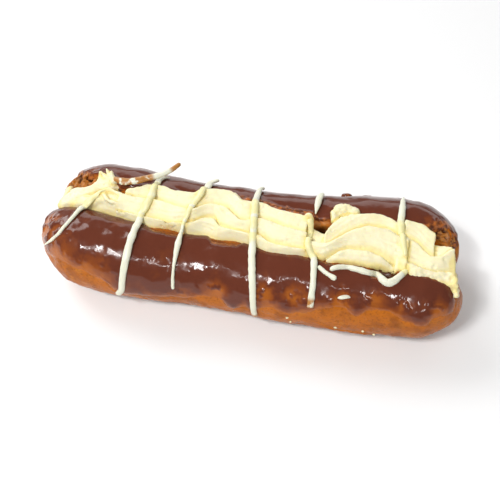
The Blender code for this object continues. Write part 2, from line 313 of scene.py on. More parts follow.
class Paint:
    """A material being mixed from nodes."""

    def __init__(self, name: str) -> None:
        """Starts a material with a bare shader.

        Args:
            name: the material's name.
        """
        self.material = bpy.data.materials.new(name)
        self.material.use_nodes = True
        self.tree = self.material.node_tree
        self.shader = self.tree.nodes["Principled BSDF"]
        self.place = self.node("ShaderNodeTexCoord", "Object", {})

    def join(self, source: Source, socket: Socket) -> None:
        """Feeds a socket.

        Args:
            source: another socket to link it to, or a plain number or colour to set on it.
            socket: the socket.
        """
        if isinstance(source, Socket):
            self.tree.links.new(source, socket)
        elif isinstance(source, tuple):
            socket.default_value = (*source, 1.0)
        else:
            socket.default_value = source

    def node(
        self, kind: str, output: str | int, inputs: dict[str | int, Source], **options: str
    ) -> Socket:
        """Adds a node.

        Args:
            kind: which node it is.
            output: which of its outputs is wanted.
            inputs: what feeds each of its inputs.
            options: its own settings.

        Returns:
            The output.
        """
        made = self.tree.nodes.new(kind)
        for key, option in options.items():
            setattr(made, key, option)
        for key, source in inputs.items():
            self.join(source, made.inputs[key])
        return made.outputs[output]

    def lumps(self, size: float, detail: float = 3.0, rough: float = 0.5) -> Socket:
        """Noise with lumps about size millimetres across."""
        inputs = {"Scale": 1.0 / (size * MM), "Detail": detail, "Roughness": rough}
        return self.node("ShaderNodeTexNoise", "Fac", {**inputs, "Vector": self.place})

    def cells(self, size: float) -> Socket:
        """Distance to the nearest of points about size millimetres apart."""
        inputs = {"Scale": 1.0 / (size * MM), "Vector": self.place}
        return self.node("ShaderNodeTexVoronoi", "Distance", inputs)

    def value(self, key: str) -> Socket:
        """A number kept at the mesh's points."""
        return self.node("ShaderNodeAttribute", "Fac", {}, attribute_name=key)

    def remap(
        self, source: Socket, low: float, high: float, start: float = 0.0, end: float = 1.0
    ) -> Socket:
        """Maps one span of numbers to another, eased and held at both ends.

        Args:
            source: the number.
            low: where the first span begins.
            high: where it ends.
            start: what low turns into.
            end: what high turns into.

        Returns:
            The mapped number.
        """
        ends = {"From Min": low, "From Max": high, "To Min": start, "To Max": end}
        kind = "SMOOTHSTEP"
        inputs = {"Value": source, **ends}
        return self.node("ShaderNodeMapRange", "Result", inputs, interpolation_type=kind)

    def patches(self, look: Patches) -> Socket:
        """Soft patches."""
        noise_there = self.lumps(look.size, look.detail, look.rough)
        return self.remap(noise_there, look.low, look.high, look.least, look.most)

    def work_out(self, kind: str, a: Source, b: Source) -> Socket:
        """One step of arithmetic, such as ADD or MULTIPLY."""
        return self.node("ShaderNodeMath", "Value", {0: a, 1: b}, operation=kind)

    def mix(self, share: Source, a: Source, b: Source) -> Socket:
        """Colour a turning into colour b as share goes from 0 to 1."""
        return self.node("ShaderNodeMix", 2, {"Factor": share, 6: a, 7: b}, data_type="RGBA")

    def bump(self, height: Socket, look: Relief, under: Socket | None = None) -> Socket:
        """Turns a height into small relief.

        Args:
            height: the height, from 0 to 1.
            look: how deep and strong the relief is.
            under: relief that it lies on.

        Returns:
            The relief, as a direction for the shader.
        """
        inputs = {"Distance": look.depth * MM, "Strength": look.strength, "Height": height}
        if under is not None:
            inputs["Normal"] = under
        return self.node("ShaderNodeBump", "Normal", inputs)

    def relief(self, look: Relief, under: Socket | None = None) -> Socket:
        """Small lumpy relief, on any relief under it."""
        return self.bump(self.lumps(look.size, look.detail, look.rough), look, under)

    def finish(
        self,
        colour: Source,
        roughness: Source,
        normal: Socket | None = None,
        **plain: float | Triple,
    ) -> bpy.types.Material:
        """Sends what was mixed to the shader.

        Args:
            colour: the base colour.
            roughness: how rough it is.
            normal: its relief, if it has any.
            plain: values set on the shader's own sockets, each under its name in small letters.

        Returns:
            The finished material.
        """
        self.join(colour, self.shader.inputs["Base Color"])
        self.join(roughness, self.shader.inputs["Roughness"])
        if normal is not None:
            self.join(normal, self.shader.inputs["Normal"])
        names = {socket.name.lower().replace(" ", "_"): socket for socket in self.shader.inputs}
        for key, value in plain.items():
            names[key].default_value = value
        return self.material


@dataclass(frozen=True)
class ChouxFinish:
    """Baked choux: golden, browner on its bulges, with open crumb where it was cut or torn, and
    painted shade.
    """

    golden: Triple = (0.475, 0.131, 0.006)
    brown: Triple = (0.170, 0.042, 0.006)
    pale: Triple = (0.54, 0.20, 0.020)
    crumb: Triple = (0.44, 0.175, 0.040)
    # painted shade: the dark laid in pores, in crumb deep under the crust and in the shaded hollows
    # beside the cream
    pit: Triple = (0.055, 0.015, 0.004)
    browned: Patches = Patches(9.0, 0.38, 0.75, 0.48, detail=4.0, rough=0.6)
    paler: Patches = Patches(4.0, 0.55, 0.75, 0.45)
    freckles: Patches = Patches(0.9, 0.50, 0.72, 0.55)
    crumb_patches: Patches = Patches(1.6, 0.45, 0.65, 0.7)
    roughness: Patches = Patches(6.0, 0.35, 0.65, 0.46, least=0.26)
    wrinkles: Relief = Relief(1.2, 0.18, 0.6, detail=4.0, rough=0.6)
    grit: Relief = Relief(0.45, 0.05, 0.5, detail=2.0)
    specular: float = 0.22

    def make(self) -> bpy.types.Material:
        """Builds the material.

        Returns:
            The material.
        """
        paint = Paint("choux_finish")
        colour = paint.mix(paint.patches(self.browned), self.golden, self.brown)
        colour = paint.mix(paint.patches(self.paler), colour, self.pale)
        # darker towards the bottom, browner on swells, and painted shade beside the icing's inner
        # edge
        colour = paint.mix(paint.value("browning_and_shade"), colour, self.brown)
        colour = paint.mix(paint.patches(self.freckles), colour, self.brown)
        open_crumb = paint.mix(paint.patches(self.crumb_patches), self.crumb, self.golden)
        # painted shade in pores, deep crumb and the shaded hollows
        open_crumb = paint.mix(paint.value("pit"), open_crumb, self.pit)
        colour = paint.mix(paint.value("crumb"), colour, open_crumb)
        relief = paint.relief(self.grit, paint.relief(self.wrinkles))
        rough = paint.patches(self.roughness)
        return paint.finish(colour, rough, relief, specular_ior_level=self.specular)


@dataclass(frozen=True)
class ChocolateFinish:
    """Milk-chocolate icing: brown where it lies thick, orange-brown where the choux shows."""

    thick: Triple = (0.122, 0.029, 0.014)
    middle: Triple = (0.210, 0.050, 0.012)
    thin: Triple = (0.38, 0.105, 0.012)
    torn: Triple = (0.43, 0.125, 0.024)
    torn_dark: Triple = (0.10, 0.026, 0.009)
    cloud: Patches = Patches(7.0, 0.3, 0.7, 0.10, least=-0.10)
    thin_depth: Band = (0.10, 0.55)  # from where the icing is thin to where it's middling
    thick_depth: Band = (0.45, 0.90)  # and on to where it's thick
    ragged: Patches = Patches(2.2, 0.40, 0.62, detail=4.0, rough=0.65)
    roughness: Patches = Patches(5.0, 0.3, 0.7, 0.20, least=0.10)
    torn_roughness: float = 0.22
    ripples: Relief = Relief(2.4, 0.05, 0.30, detail=2.0)
    specular: float = 0.30
    coat: float = 0.10
    coat_roughness: float = 0.08

    def make(self) -> bpy.types.Material:
        """Builds the material.

        Returns:
            The material.
        """
        paint = Paint("chocolate_finish")
        depth = paint.work_out("ADD", paint.value("depth"), paint.patches(self.cloud))
        colour = paint.mix(paint.remap(depth, *self.thin_depth), self.thin, self.middle)
        colour = paint.mix(paint.remap(depth, *self.thick_depth), colour, self.thick)
        ragged = paint.mix(paint.patches(self.ragged), self.torn_dark, self.torn)
        colour = paint.mix(paint.value("torn"), colour, ragged)
        torn_rough = paint.remap(paint.value("torn"), 0.0, 1.0, 0.0, self.torn_roughness)
        return paint.finish(
            colour,
            paint.work_out("ADD", paint.patches(self.roughness), torn_rough),
            paint.relief(self.ripples),
            specular_ior_level=self.specular,
            coat_weight=self.coat,
            coat_roughness=self.coat_roughness,
        )


@dataclass(frozen=True)
class CreamFinish:
    """Whipped cream: pale yellow, with painted shade of deeper yellow in its folds, stained where
    the strands lie on it.
    """

    light: Triple = (0.865, 0.80, 0.53)
    # the deeper yellow painted into the folds as shade, also laid in soft random patches
    fold_shade: Triple = (0.83, 0.69, 0.265)
    stain: Triple = (0.80, 0.60, 0.12)
    fold_shade_strength: float = 0.85
    stain_strength: float = 0.7
    tint: Patches = Patches(8.0, 0.48, 0.72, 0.22)
    speck_spacing: float = 3.1
    speck_size: Band = (0.03, 0.09)
    speck_strength: float = 0.5
    curd: Relief = Relief(1.4, 0.10, 0.5, detail=4.0, rough=0.6)
    pinholes: Relief = Relief(0.55, 0.05, 0.35)
    roughness: float = 0.55
    glow: float = 0.25
    glow_colours: Triple = (1.0, 0.75, 0.35)
    glow_depth: float = 1.6

    def make(self) -> bpy.types.Material:
        """Builds the material.

        Returns:
            The material.
        """
        paint = Paint("cream_finish")
        fold_shading = paint.remap(paint.value("fold_shade"), 0.0, 1.0, 0.0, self.fold_shade_strength)
        colour = paint.mix(fold_shading, self.light, self.fold_shade)
        colour = paint.mix(paint.patches(self.tint), colour, self.fold_shade)
        stains = paint.remap(paint.value("stain"), 0.0, 1.0, 0.0, self.stain_strength)
        colour = paint.mix(stains, colour, self.stain)
        near = paint.cells(self.speck_spacing)
        specks = paint.remap(near, *self.speck_size, self.speck_strength, 0.0)
        colour = paint.mix(specks, colour, self.stain)
        relief = paint.bump(paint.cells(self.pinholes.size), self.pinholes, paint.relief(self.curd))
        return paint.finish(
            colour,
            self.roughness,
            relief,
            subsurface_weight=self.glow,
            subsurface_radius=self.glow_colours,
            subsurface_scale=self.glow_depth * MM,
        )


@dataclass(frozen=True)
class WhiteIcingFinish:
    """Set white icing: off-white, yellower where cream shows through, browned at some ends."""

    white: Triple = (0.76, 0.76, 0.61)
    creamy: Triple = (0.82, 0.76, 0.40)
    toffee: Triple = (0.42, 0.18, 0.036)
    toffee_patches: Patches = Patches(2.6, 0.36, 0.50)
    ripples: Relief = Relief(1.3, 0.07, 0.4)
    roughness: float = 0.38
    glow: float = 0.15
    glow_colours: Triple = (1.0, 0.8, 0.5)
    glow_depth: float = 0.8

    def make(self) -> bpy.types.Material:
        """Builds the material.

        Returns:
            The material.
        """
        paint = Paint("white_icing_finish")
        creamy = paint.remap(paint.value("creamy"), 0.0, 1.0)
        colour = paint.mix(creamy, self.white, self.creamy)
        patches = paint.patches(self.toffee_patches)
        stained = paint.work_out("MULTIPLY", paint.value("toffee"), patches)
        colour = paint.mix(stained, colour, self.toffee)
        return paint.finish(
            colour,
            self.roughness,
            paint.relief(self.ripples),
            subsurface_weight=self.glow,
            subsurface_radius=self.glow_colours,
            subsurface_scale=self.glow_depth * MM,
        )


CHOUX_PAINT = ChouxFinish().make()
CHOCOLATE = ChocolateFinish().make()
CREAM_PAINT = CreamFinish().make()
WHITE_PAINT = WhiteIcingFinish().make()

# ---------------------------------------------------------------- skins of solid forms


def skin(level: Array, low: Array, step: float) -> tuple[Array, Array]:
    """The surface of a form that is given by levels on a grid, less than 0 inside it.

    Args:
        level: the level at each grid point.
        low: the grid's first corner, in millimetres.
        step: the grid's spacing.

    Returns:
        The surface's points, and its faces with four points each.
    """
    inside = level < 0
    corners = [(a, b, c) for a in (0, 1) for b in (0, 1) for c in (0, 1)]
    nx, ny, nz = (n - 1 for n in level.shape)
    filled = sum(inside[a : a + nx, b : b + ny, c : c + nz].astype(np.int8) for a, b, c in corners)
    active = (filled > 0) & (filled < len(corners))
    cells = np.argwhere(active)
    number = np.full(active.shape, -1)
    number[active] = np.arange(len(cells))
    values = np.stack([level[tuple((cells + c).T)] for c in corners], axis=1)
    total, hits = np.zeros((len(cells), 3)), np.zeros(len(cells))
    for i, first in enumerate(corners):
        for j, second in enumerate(corners):
            if j <= i or sum(abs(p - q) for p, q in zip(first, second)) != 1:
                continue
            a, b = values[:, i], values[:, j]
            cross = (a < 0) != (b < 0)
            share = np.where(cross, a / np.where(cross, a - b, 1.0), 0.0)[:, None]
            place = np.array(first) + share * (np.array(second) - np.array(first))
            total += np.where(cross[:, None], place, 0.0)
            hits += cross
    points = low + (cells + total / hits[:, None]) * step
    faces = []
    for axis in range(3):
        first_cut, second_cut = [slice(1, -1)] * 3, [slice(1, -1)] * 3
        first_cut[axis], second_cut[axis] = slice(0, -1), slice(1, None)
        start, end = inside[tuple(first_cut)], inside[tuple(second_cut)]
        b, c = np.eye(3, dtype=int)[(axis + 1) % 3], np.eye(3, dtype=int)[(axis + 2) % 3]
        for leaving in (True, False):
            place = np.argwhere((start != end) & (start == leaving)) + b + c
            ring = [place - b - c, place - c, place, place - b]
            if not leaving:
                ring.reverse()
            faces.append(np.stack([number[tuple(r.T)] for r in ring], axis=1))
    return points, np.concatenate(faces)


class Form:
    """A solid that knows its level anywhere: how far outside it a point is, less than 0 inside."""

    def level(self, x: Array, y: Array, z: Array) -> Array:
        """The level at each point."""
        raise NotImplementedError

    def outward(self, points: Array, reach: float = 0.12) -> Array:
        """The way out of the form.

        Args:
            points: where it is found.
            reach: how far to either side the level is compared.

        Returns:
            The unit direction at each point.
        """
        slope = []
        for axis in range(3):
            nudge = np.zeros(3)
            nudge[axis] = reach
            slope.append(self.level(*(points + nudge).T) - self.level(*(points - nudge).T))
        return turned(np.stack(slope, axis=-1))

    def pulled(self, points: Array, times: int, limit: float = 0.6) -> Array:
        """Moves points onto the form's surface.

        Args:
            points: the points, already near it.
            times: how many moves are made.
            limit: the longest single move.

        Returns:
            The moved points.
        """
        for _ in range(times):
            far = np.clip(self.level(*points.T), -limit, limit)
            points = points - self.outward(points) * far[:, None]
        return points

    def meshed(self, low: Array, high: Array, step: float) -> tuple[Array, Array]:
        """The form's surface between two corners.

        Args:
            low: the lowest corner.
            high: the highest corner.
            step: the spacing of its points.

        Returns:
            The surface's points and faces.
        """
        x, y, z = (np.arange(a, b + step, step) for a, b in zip(low, high))
        level = self.level(x[:, None, None], y[None, :, None], z[None, None, :])
        return skin(level, low, step)


# ---------------------------------------------------------------- the choux

SEAT = 0.96  # height of a half's centre line, as a share of its girth radius
TIP_POWER = 2.3  # how blunt the tips are
GIRTH = 15.0  # a half's usual radius
CHOUX_BOX = [np.array(corner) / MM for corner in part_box("choux")]
CREAM_BOX = [np.array(corner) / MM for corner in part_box("cream")]
SWELLING = Grain(0.42, 13.0, 2, 3.1)  # the baked crust's broad swells
KNOBS = Grain(0.30, 4.6, 3, 11.0)  # its small knobs
PIMPLES = Grain(0.10, 1.3, 2, 23.0)
TEAR_EDGE = Grain(0.5, 1.6, 2, 5.0)  # how ragged the line between crust and crumb is


@dataclass(frozen=True)
class Half(Form):
    """One half of the slit finger: its tips, how far in they round off, its bends and girths."""

    left: float
    right: float
    left_round: float
    right_round: float
    bends: Line
    girths: Line
    samples: int = 4000

    def axis(self, x: Array) -> tuple[Array, Array, Array]:
        """The y and z of the centre line at x, and the full girth radius there."""
        girth = smooth(self.girths, x)
        return smooth(self.bends, x), SEAT * girth, girth

    def tip_share(self, x: Array) -> Array:
        """0 along the body, rising to 1 at the very tips.

        Args:
            x: where it is read.

        Returns:
            The share at each x.
        """
        left = (self.left + self.left_round - x) / self.left_round
        right = (x - self.right + self.right_round) / self.right_round
        return np.maximum(np.maximum(left, right), 0.0)

    def radius(self, x: Array) -> Array:
        """The radius at x, drawn in to 0 at the very tips."""
        return self.axis(x)[2] * np.sqrt(np.maximum(1.0 - self.tip_share(x) ** TIP_POWER, 0.0))

    def level(self, x: Array, y: Array, z: Array) -> Array:
        """About how far outside this half a point is.

        Args:
            x, y, z: the points' places.

        Returns:
            The level at each point.
        """
        centre_y, centre_z, girth = self.axis(x)
        q = self.tip_share(x)
        away = np.hypot(y - centre_y, z - centre_z)
        rise = (away / girth) ** 2 + q**TIP_POWER - 1.0
        drawn_in = TIP_POWER * q ** (TIP_POWER - 1.0) / self.left_round
        steep = np.hypot(2.0 * away / girth**2, drawn_in)
        return rise / np.maximum(steep, 0.5 / girth)

    def stations(self, margin: float, step: float) -> Array:
        """Places along x, closer together where the tips turn in.

        Args:
            margin: how far inside the tips they begin and end.
            step: about how far apart they are on the skin.

        Returns:
            Their x.
        """
        x = np.linspace(self.left + margin, self.right - margin, self.samples)
        length = lengths(np.stack([x, self.radius(x)], axis=1))
        return np.interp(np.arange(0.0, length[-1], step), length, x)

    def wrap(self, x: Array, angle: Array) -> Array:
        """Places on this half's skin.

        Args:
            x: their x.
            angle: their angles in radians, from the back over the top.

        Returns:
            The points.
        """
        centre_y, centre_z, _ = self.axis(x)
        y, z = self.radius(x) * np.cos(angle), self.radius(x) * np.sin(angle)
        return np.stack([x + 0 * angle, centre_y + y, centre_z + z], -1)


FRONT = Half(
    left=float(CHOUX_BOX[0][0]),
    right=float(CHOUX_BOX[1][0]),
    left_round=23.0,
    right_round=19.0,
    bends=((-85, -6.9), (-66, -12.0), (-46, -14.0), (-22, -12.9), (20, -14.3), (60, -12.9),
           (85, -10.7)),
    girths=((-85, 15.4), (-55, 15.4), (-20, 14.6), (60, 14.8), (85, 14.8)),
)
BACK = Half(
    left=float(CHOUX_BOX[0][0]) + 1.7,
    right=float(CHOUX_BOX[1][0]) - 1.4,
    left_round=21.0,
    right_round=20.0,
    bends=((-82, 12.3), (-60, 13.3), (-28, 12.3), (10, 12.3), (40, 14.3), (60, 15.2), (85, 12.9)),
    girths=((-82, 15.5), (-60, 15.9), (-20, 14.8), (10, 14.8), (60, 16.3), (85, 15.4)),
)


def middle(x: Array) -> Array:
    """The y of the slit's middle at x."""
    return (FRONT.axis(x)[0] + BACK.axis(x)[0]) / 2.0


@dataclass(frozen=True)
class Hollow(Form):
    """An egg-shaped space in the choux or the cream."""

    centre: Triple
    radii: Triple

    def level(self, x: Array, y: Array, z: Array) -> Array:
        """About how far outside the hollow a point is.

        Args:
            x, y, z: the points' places.

        Returns:
            The level at each point.
        """
        (cx, cy, cz), (rx, ry, rz) = self.centre, self.radii
        away = np.sqrt(((x - cx) / rx) ** 2 + ((y - cy) / ry) ** 2 + ((z - cz) / rz) ** 2)
        return (away - 1.0) * min(self.radii)


@dataclass(frozen=True)
class ChouxForm(Form):
    """The whole finger: two halves on an uncut web, with the slit opened between them."""

    slit_floor: float = 9.0
    floor_half_width: float = 1.9
    lip_height: float = 28.0
    front_lip: Line = (
        (-80, -2.6), (-62, -3.4), (-46, -5.6), (-28, -6.6), (-5, -7.4), (20, -8.2), (60, -6.4),
        (80, -6.0),
    )
    back_lip: Line = (
        (-80, 6.6), (-60, 6.4), (0, 6.0), (24, 6.2), (40, 7.2), (60, 7.9), (84, 8.2),
    )
    web_half_width: float = 14.0
    web_half_height: float = 5.4
    web_half_length: float = 81.0
    web_round: float = 20.0
    web_centre: float = 4.4
    halves_join: float = 1.4  # how widely the creases between its parts are rounded
    web_join: float = 2.0
    base_edge: float = 1.2
    slit_edge: float = 0.9
    tear_edge: float = 0.8
    tears: tuple[Hollow, ...] = (
        Hollow((-73.6, 9.0, 27.8), (5.0, 4.2, 4.0)),
        Hollow((-69.4, 12.4, 30.4), (3.4, 2.4, 2.2)),
        Hollow((-76.0, 13.0, 26.4), (4.2, 3.6, 2.8)),
        Hollow((76.0, 10.0, 29.6), (6.6, 3.6, 2.4)),
        Hollow((81.8, 9.6, 23.6), (3.2, 3.4, 5.0)),
        Hollow((53.0, -13.6, 30.0), (4.6, 2.6, 3.8)),
        Hollow((13.5, 7.0, 30.2), (11.5, 1.5, 3.4)),
    )
    shaded_gaps: tuple[Hollow, ...] = (  # hollows beside the cream where the crumb is painted dark as shade; they shape nothing
        Hollow((53.0, -13.0, 29.0), (6.4, 3.6, 5.5)),
        Hollow((-54.0, 8.6, 30.0), (5.6, 3.6, 6.0)),
        Hollow((27.6, 7.0, 23.4), (6.0, 3.6, 4.4)),
    )
    plugs: tuple[Hollow, ...] = (  # where finer crumb is set in
        Hollow((-73.4, 11.4, 27.4), (8.6, 7.6, 7.0)),
        Hollow((77.6, 10.6, 26.0), (9.0, 6.4, 9.0)),
    )

    def slit(self, x: Array, y: Array, z: Array) -> Array:
        """How far inside the slit a point is, less than 0 beside it.

        Args:
            x, y, z: the points' places.

        Returns:
            The distance at each point.
        """
        share = (z - self.slit_floor) / (self.lip_height - self.slit_floor)
        line = middle(x)
        front = line - self.floor_half_width
        front = front + share * (smooth(self.front_lip, x) - front)
        back = line + self.floor_half_width
        back = back + share * (smooth(self.back_lip, x) - back)
        return np.minimum(np.minimum(y - front, back - y), z - self.slit_floor)

    def tear(self, x: Array, y: Array, z: Array) -> Array:
        """How far inside a torn hollow a point is, less than 0 beside them all.

        Args:
            x, y, z: the points' places.

        Returns:
            The distance at each point.
        """
        deepest = -self.tears[0].level(x, y, z)
        for hollow in self.tears[1:]:
            deepest = np.maximum(deepest, -hollow.level(x, y, z))
        return deepest

    def whole(self, x: Array, y: Array, z: Array) -> Array:
        """The level before the slit and the tears are opened.

        Args:
            x, y, z: the points' places.

        Returns:
            The level at each point.
        """
        q = np.maximum((np.abs(x) - self.web_half_length + self.web_round) / self.web_round, 0.0)
        across = (y - middle(x)) / self.web_half_width
        up = (z - self.web_centre) / self.web_half_height
        web = (np.sqrt(across**2 + up**2 + q**2) - 1.0) * self.web_half_height
        halves = blend_min(FRONT.level(x, y, z), BACK.level(x, y, z), self.halves_join)
        joined = blend_min(halves, web, self.web_join)
        return blend_max(joined, -z + 0 * halves, self.base_edge)

    def level(self, x: Array, y: Array, z: Array) -> Array:
        """About how far outside the choux a point is."""
        opened = blend_max(self.whole(x, y, z), self.slit(x, y, z), self.slit_edge)
        return blend_max(opened, self.tear(x, y, z), self.tear_edge)


CHOUX = ChouxForm()


@dataclass(frozen=True)
class TornCrumb(Form):
    """Fine spongy crumb, set in the finger's skin where the crust tore away."""

    name: str
    plug: Hollow
    step: float = 0.36
    margin: float = 1.0
    crags: Grain = Grain(1.0, 2.9, 4, 40.0)
    pore_size: float = 2.4
    pore_depth: float = 0.9
    pore_reach: Band = (-0.44, -0.16)
    small_size: float = 1.08
    small_depth: float = 0.35
    small_reach: Band = (-0.42, -0.14)
    small_shift: float = 17.0
    open_reach: Band = (-1.6, -0.3)
    sunk: float = 0.25  # how far it lies under the crust around it

    def level(self, x: Array, y: Array, z: Array) -> Array:
        """How far a point is outside the choux or the plug, whichever is more."""
        return np.maximum(CHOUX.level(x, y, z), self.plug.level(x, y, z))

    def build(self) -> bpy.types.Object:
        """Makes the piece.

        Returns:
            The piece, in the scene.
        """
        centre, radii = np.array(self.plug.centre), np.array(self.plug.radii)
        low, high = centre - radii - self.margin, centre + radii + self.margin
        points, faces = self.meshed(low, high, self.step)
        points = CHOUX.pulled(points, 1, 0.25)
        open_part = ramp(CHOUX.tear(*points.T) + TEAR_EDGE.at(points), *self.open_reach)
        large = ramp(pores(points, self.pore_size), *self.pore_reach)
        small = ramp(pores(points + self.small_shift, self.small_size), *self.small_reach)
        craggy = self.crags.at(points)
        relief = craggy - self.pore_depth * large - self.small_depth * small
        relief = relief * open_part - self.sunk * (1.0 - open_part)
        made = points + CHOUX.outward(points) * relief[:, None]
        # painted shade in the pores and in the low parts of the crags
        pore_shade = np.clip(0.7 * large + 0.35 * small + ramp(-craggy, 0.0, 0.55), 0.0, 1.0)
        values = {"crumb": open_part, "pit": pore_shade, "browning_and_shade": 0.0 * large}
        return add_skin(self.name, made, faces, CHOUX_PAINT, values)


@dataclass(frozen=True)
class ChouxPiece:
    """The baked finger as it is seen: swollen crust, open crumb in the slit and the tears."""

    step: float = 0.66
    margin: float = 2.0
    crumb_reach: Band = (-0.9, -0.2)
    crags: Grain = Grain(0.35, 2.6, 3, 40.0)
    pore_size: float = 2.3
    pore_depth: float = 1.2
    pore_reach: Band = (-0.42, -0.12)
    deep_shade_reach: Band = (1.0, 3.2)  # painted shade: how far under the crust the crumb is painted dark
    gap_reach: Band = (-0.4, 1.6)
    gap_shade: float = 0.9
    wrinkle: Line = ((30, 11.5), (40, 8.2), (48, 6.8), (56, 6.0))  # (x, height) along the front
    wrinkle_depth: float = 0.7
    under_plugs: float = 1.7  # how far the crumb is cut back beneath the set-in crumb
    under_cream: float = 0.6
    browned: Grain = Grain(1.0, 7.0, 3, 61.0)
    # the crust is darker towards the bottom
    base_darkening: float = 0.75
    swell_browning: float = 0.4
    icing_edge_shade: float = 0.8  # painted shade beside the icing's inner edge
    full_above: float = 2.0  # height above which its relief is whole, for a flat base

    def open_crumb(self, points: Array) -> Array:
        """1 on open crumb, 0 on crust.

        Args:
            points: where it is read.

        Returns:
            The share at each point.
        """
        x, y, z = points.T
        cut = np.maximum(CHOUX.slit(x, y, z), CHOUX.tear(x, y, z))
        return ramp(cut + TEAR_EDGE.at(points), *self.crumb_reach)

    def painted_shade(self, points: Array, torn: Array) -> tuple[Array, Array]:
        """Where the crumb is painted dark as shade: in pores, deep inside, and in the shaded
        hollows beside the cream.

        Args:
            points: where it is read.
            torn: which points are on open crumb.

        Returns:
            How dark each point is, and how much of a gap it is in.
        """
        pit = np.zeros(len(points))
        pit[torn] = ramp(pores(points[torn], self.pore_size), *self.pore_reach)
        pit = np.maximum(pit, ramp(-CHOUX.whole(*points.T), *self.deep_shade_reach))
        shaded_gap = np.zeros(len(points))
        for hollow in CHOUX.shaded_gaps:
            shaded_gap = np.maximum(shaded_gap, ramp(-hollow.level(*points.T), *self.gap_reach))
        return np.maximum(pit, self.gap_shade * shaded_gap), shaded_gap

    def wrinkled(self, points: Array) -> Array:
        """The relief of the long wrinkle low on the front.

        Args:
            points: where it is read.

        Returns:
            Its height at each point.
        """
        x, y, z = points.T
        above = z - smooth(self.wrinkle, x)
        first, last = self.wrinkle[0][0], self.wrinkle[-1][0]
        fade = ramp(x, first, first + 6.0) * ramp(-x, -last, -last + 6.0)
        ledge = hump(above, 0.8) - 0.8 * hump(above + 1.9, 0.9)
        return self.wrinkle_depth * ledge * fade * (y < 0)

    def cut_back(self, points: Array) -> Array:
        """How far the skin is drawn in under what lies on it.

        Args:
            points: where it is read.

        Returns:
            The distance at each point.
        """
        total = self.under_cream * ramp(-CREAM.free(*points.T), -0.2, 1.0)
        torn = ramp(CHOUX.tear(*points.T), -1.5, -0.5)
        for plug in CHOUX.plugs:
            total = total + self.under_plugs * ramp(-plug.level(*points.T), 0.5, 1.8) * torn
        return total

    def crust_darkening(self, points: Array) -> Array:
        """How much darker the crust is painted: towards the bottom, browner on high swells, and
        painted shade beside the icing's inner edge.

        Args:
            points: where it is read.

        Returns:
            The share at each point.
        """
        low_down = 1.0 - ramp(points[:, 2], 0.5, 7.0)
        swell = ramp(self.browned.at(points), 0.1, 0.6)
        from_icing = points[:, 1] - smooth(FRONT_ICING.inner, points[:, 0])
        beside = hump(from_icing - 0.4, 1.1) * (points[:, 2] > 22.0)
        total = self.base_darkening * low_down + self.swell_browning * swell
        return np.clip(total + self.icing_edge_shade * beside, 0.0, 1.0)

    def build(self) -> bpy.types.Object:
        """Makes the piece.

        Returns:
            The piece, in the scene.
        """
        low, high = CHOUX_BOX[0] - self.margin, CHOUX_BOX[1] + self.margin
        points, faces = CHOUX.meshed(low, high, self.step)
        points = CHOUX.pulled(points, 2)
        crumb = self.open_crumb(points)
        torn = crumb > 0.02
        pit, shaded_gap = self.painted_shade(points, torn)
        # the shaded hollows take the crumb colour, so that their painted shade shows
        crumb = np.maximum(crumb, shaded_gap)
        crust = SWELLING.at(points) + KNOBS.at(points) + PIMPLES.at(points) + self.wrinkled(points)
        rough = np.zeros(len(points))
        rough[torn] = self.crags.at(points[torn]) - self.pore_depth * pit[torn]
        relief = crust * (1.0 - crumb) + rough * crumb - self.cut_back(points)
        relief *= ramp(points[:, 2], 0.1, self.full_above)
        made = points + CHOUX.outward(points) * relief[:, None]
        made[:, 2] = np.maximum(made[:, 2], 0.0)
        # pit carries painted shade; the browning value also carries painted shade beside the icing
        values = {"crumb": crumb, "pit": pit, "browning_and_shade": self.crust_darkening(points) * (1.0 - crumb)}
        return add_skin("choux_finger", made, faces, CHOUX_PAINT, values)


# ---------------------------------------------------------------- the chocolate icing


@dataclass(frozen=True)
class Spot:
    """A place on the icing: its x, its angle in degrees, its size and how strong it is."""

    x: float
    degrees: float
    reach: float
    amount: float


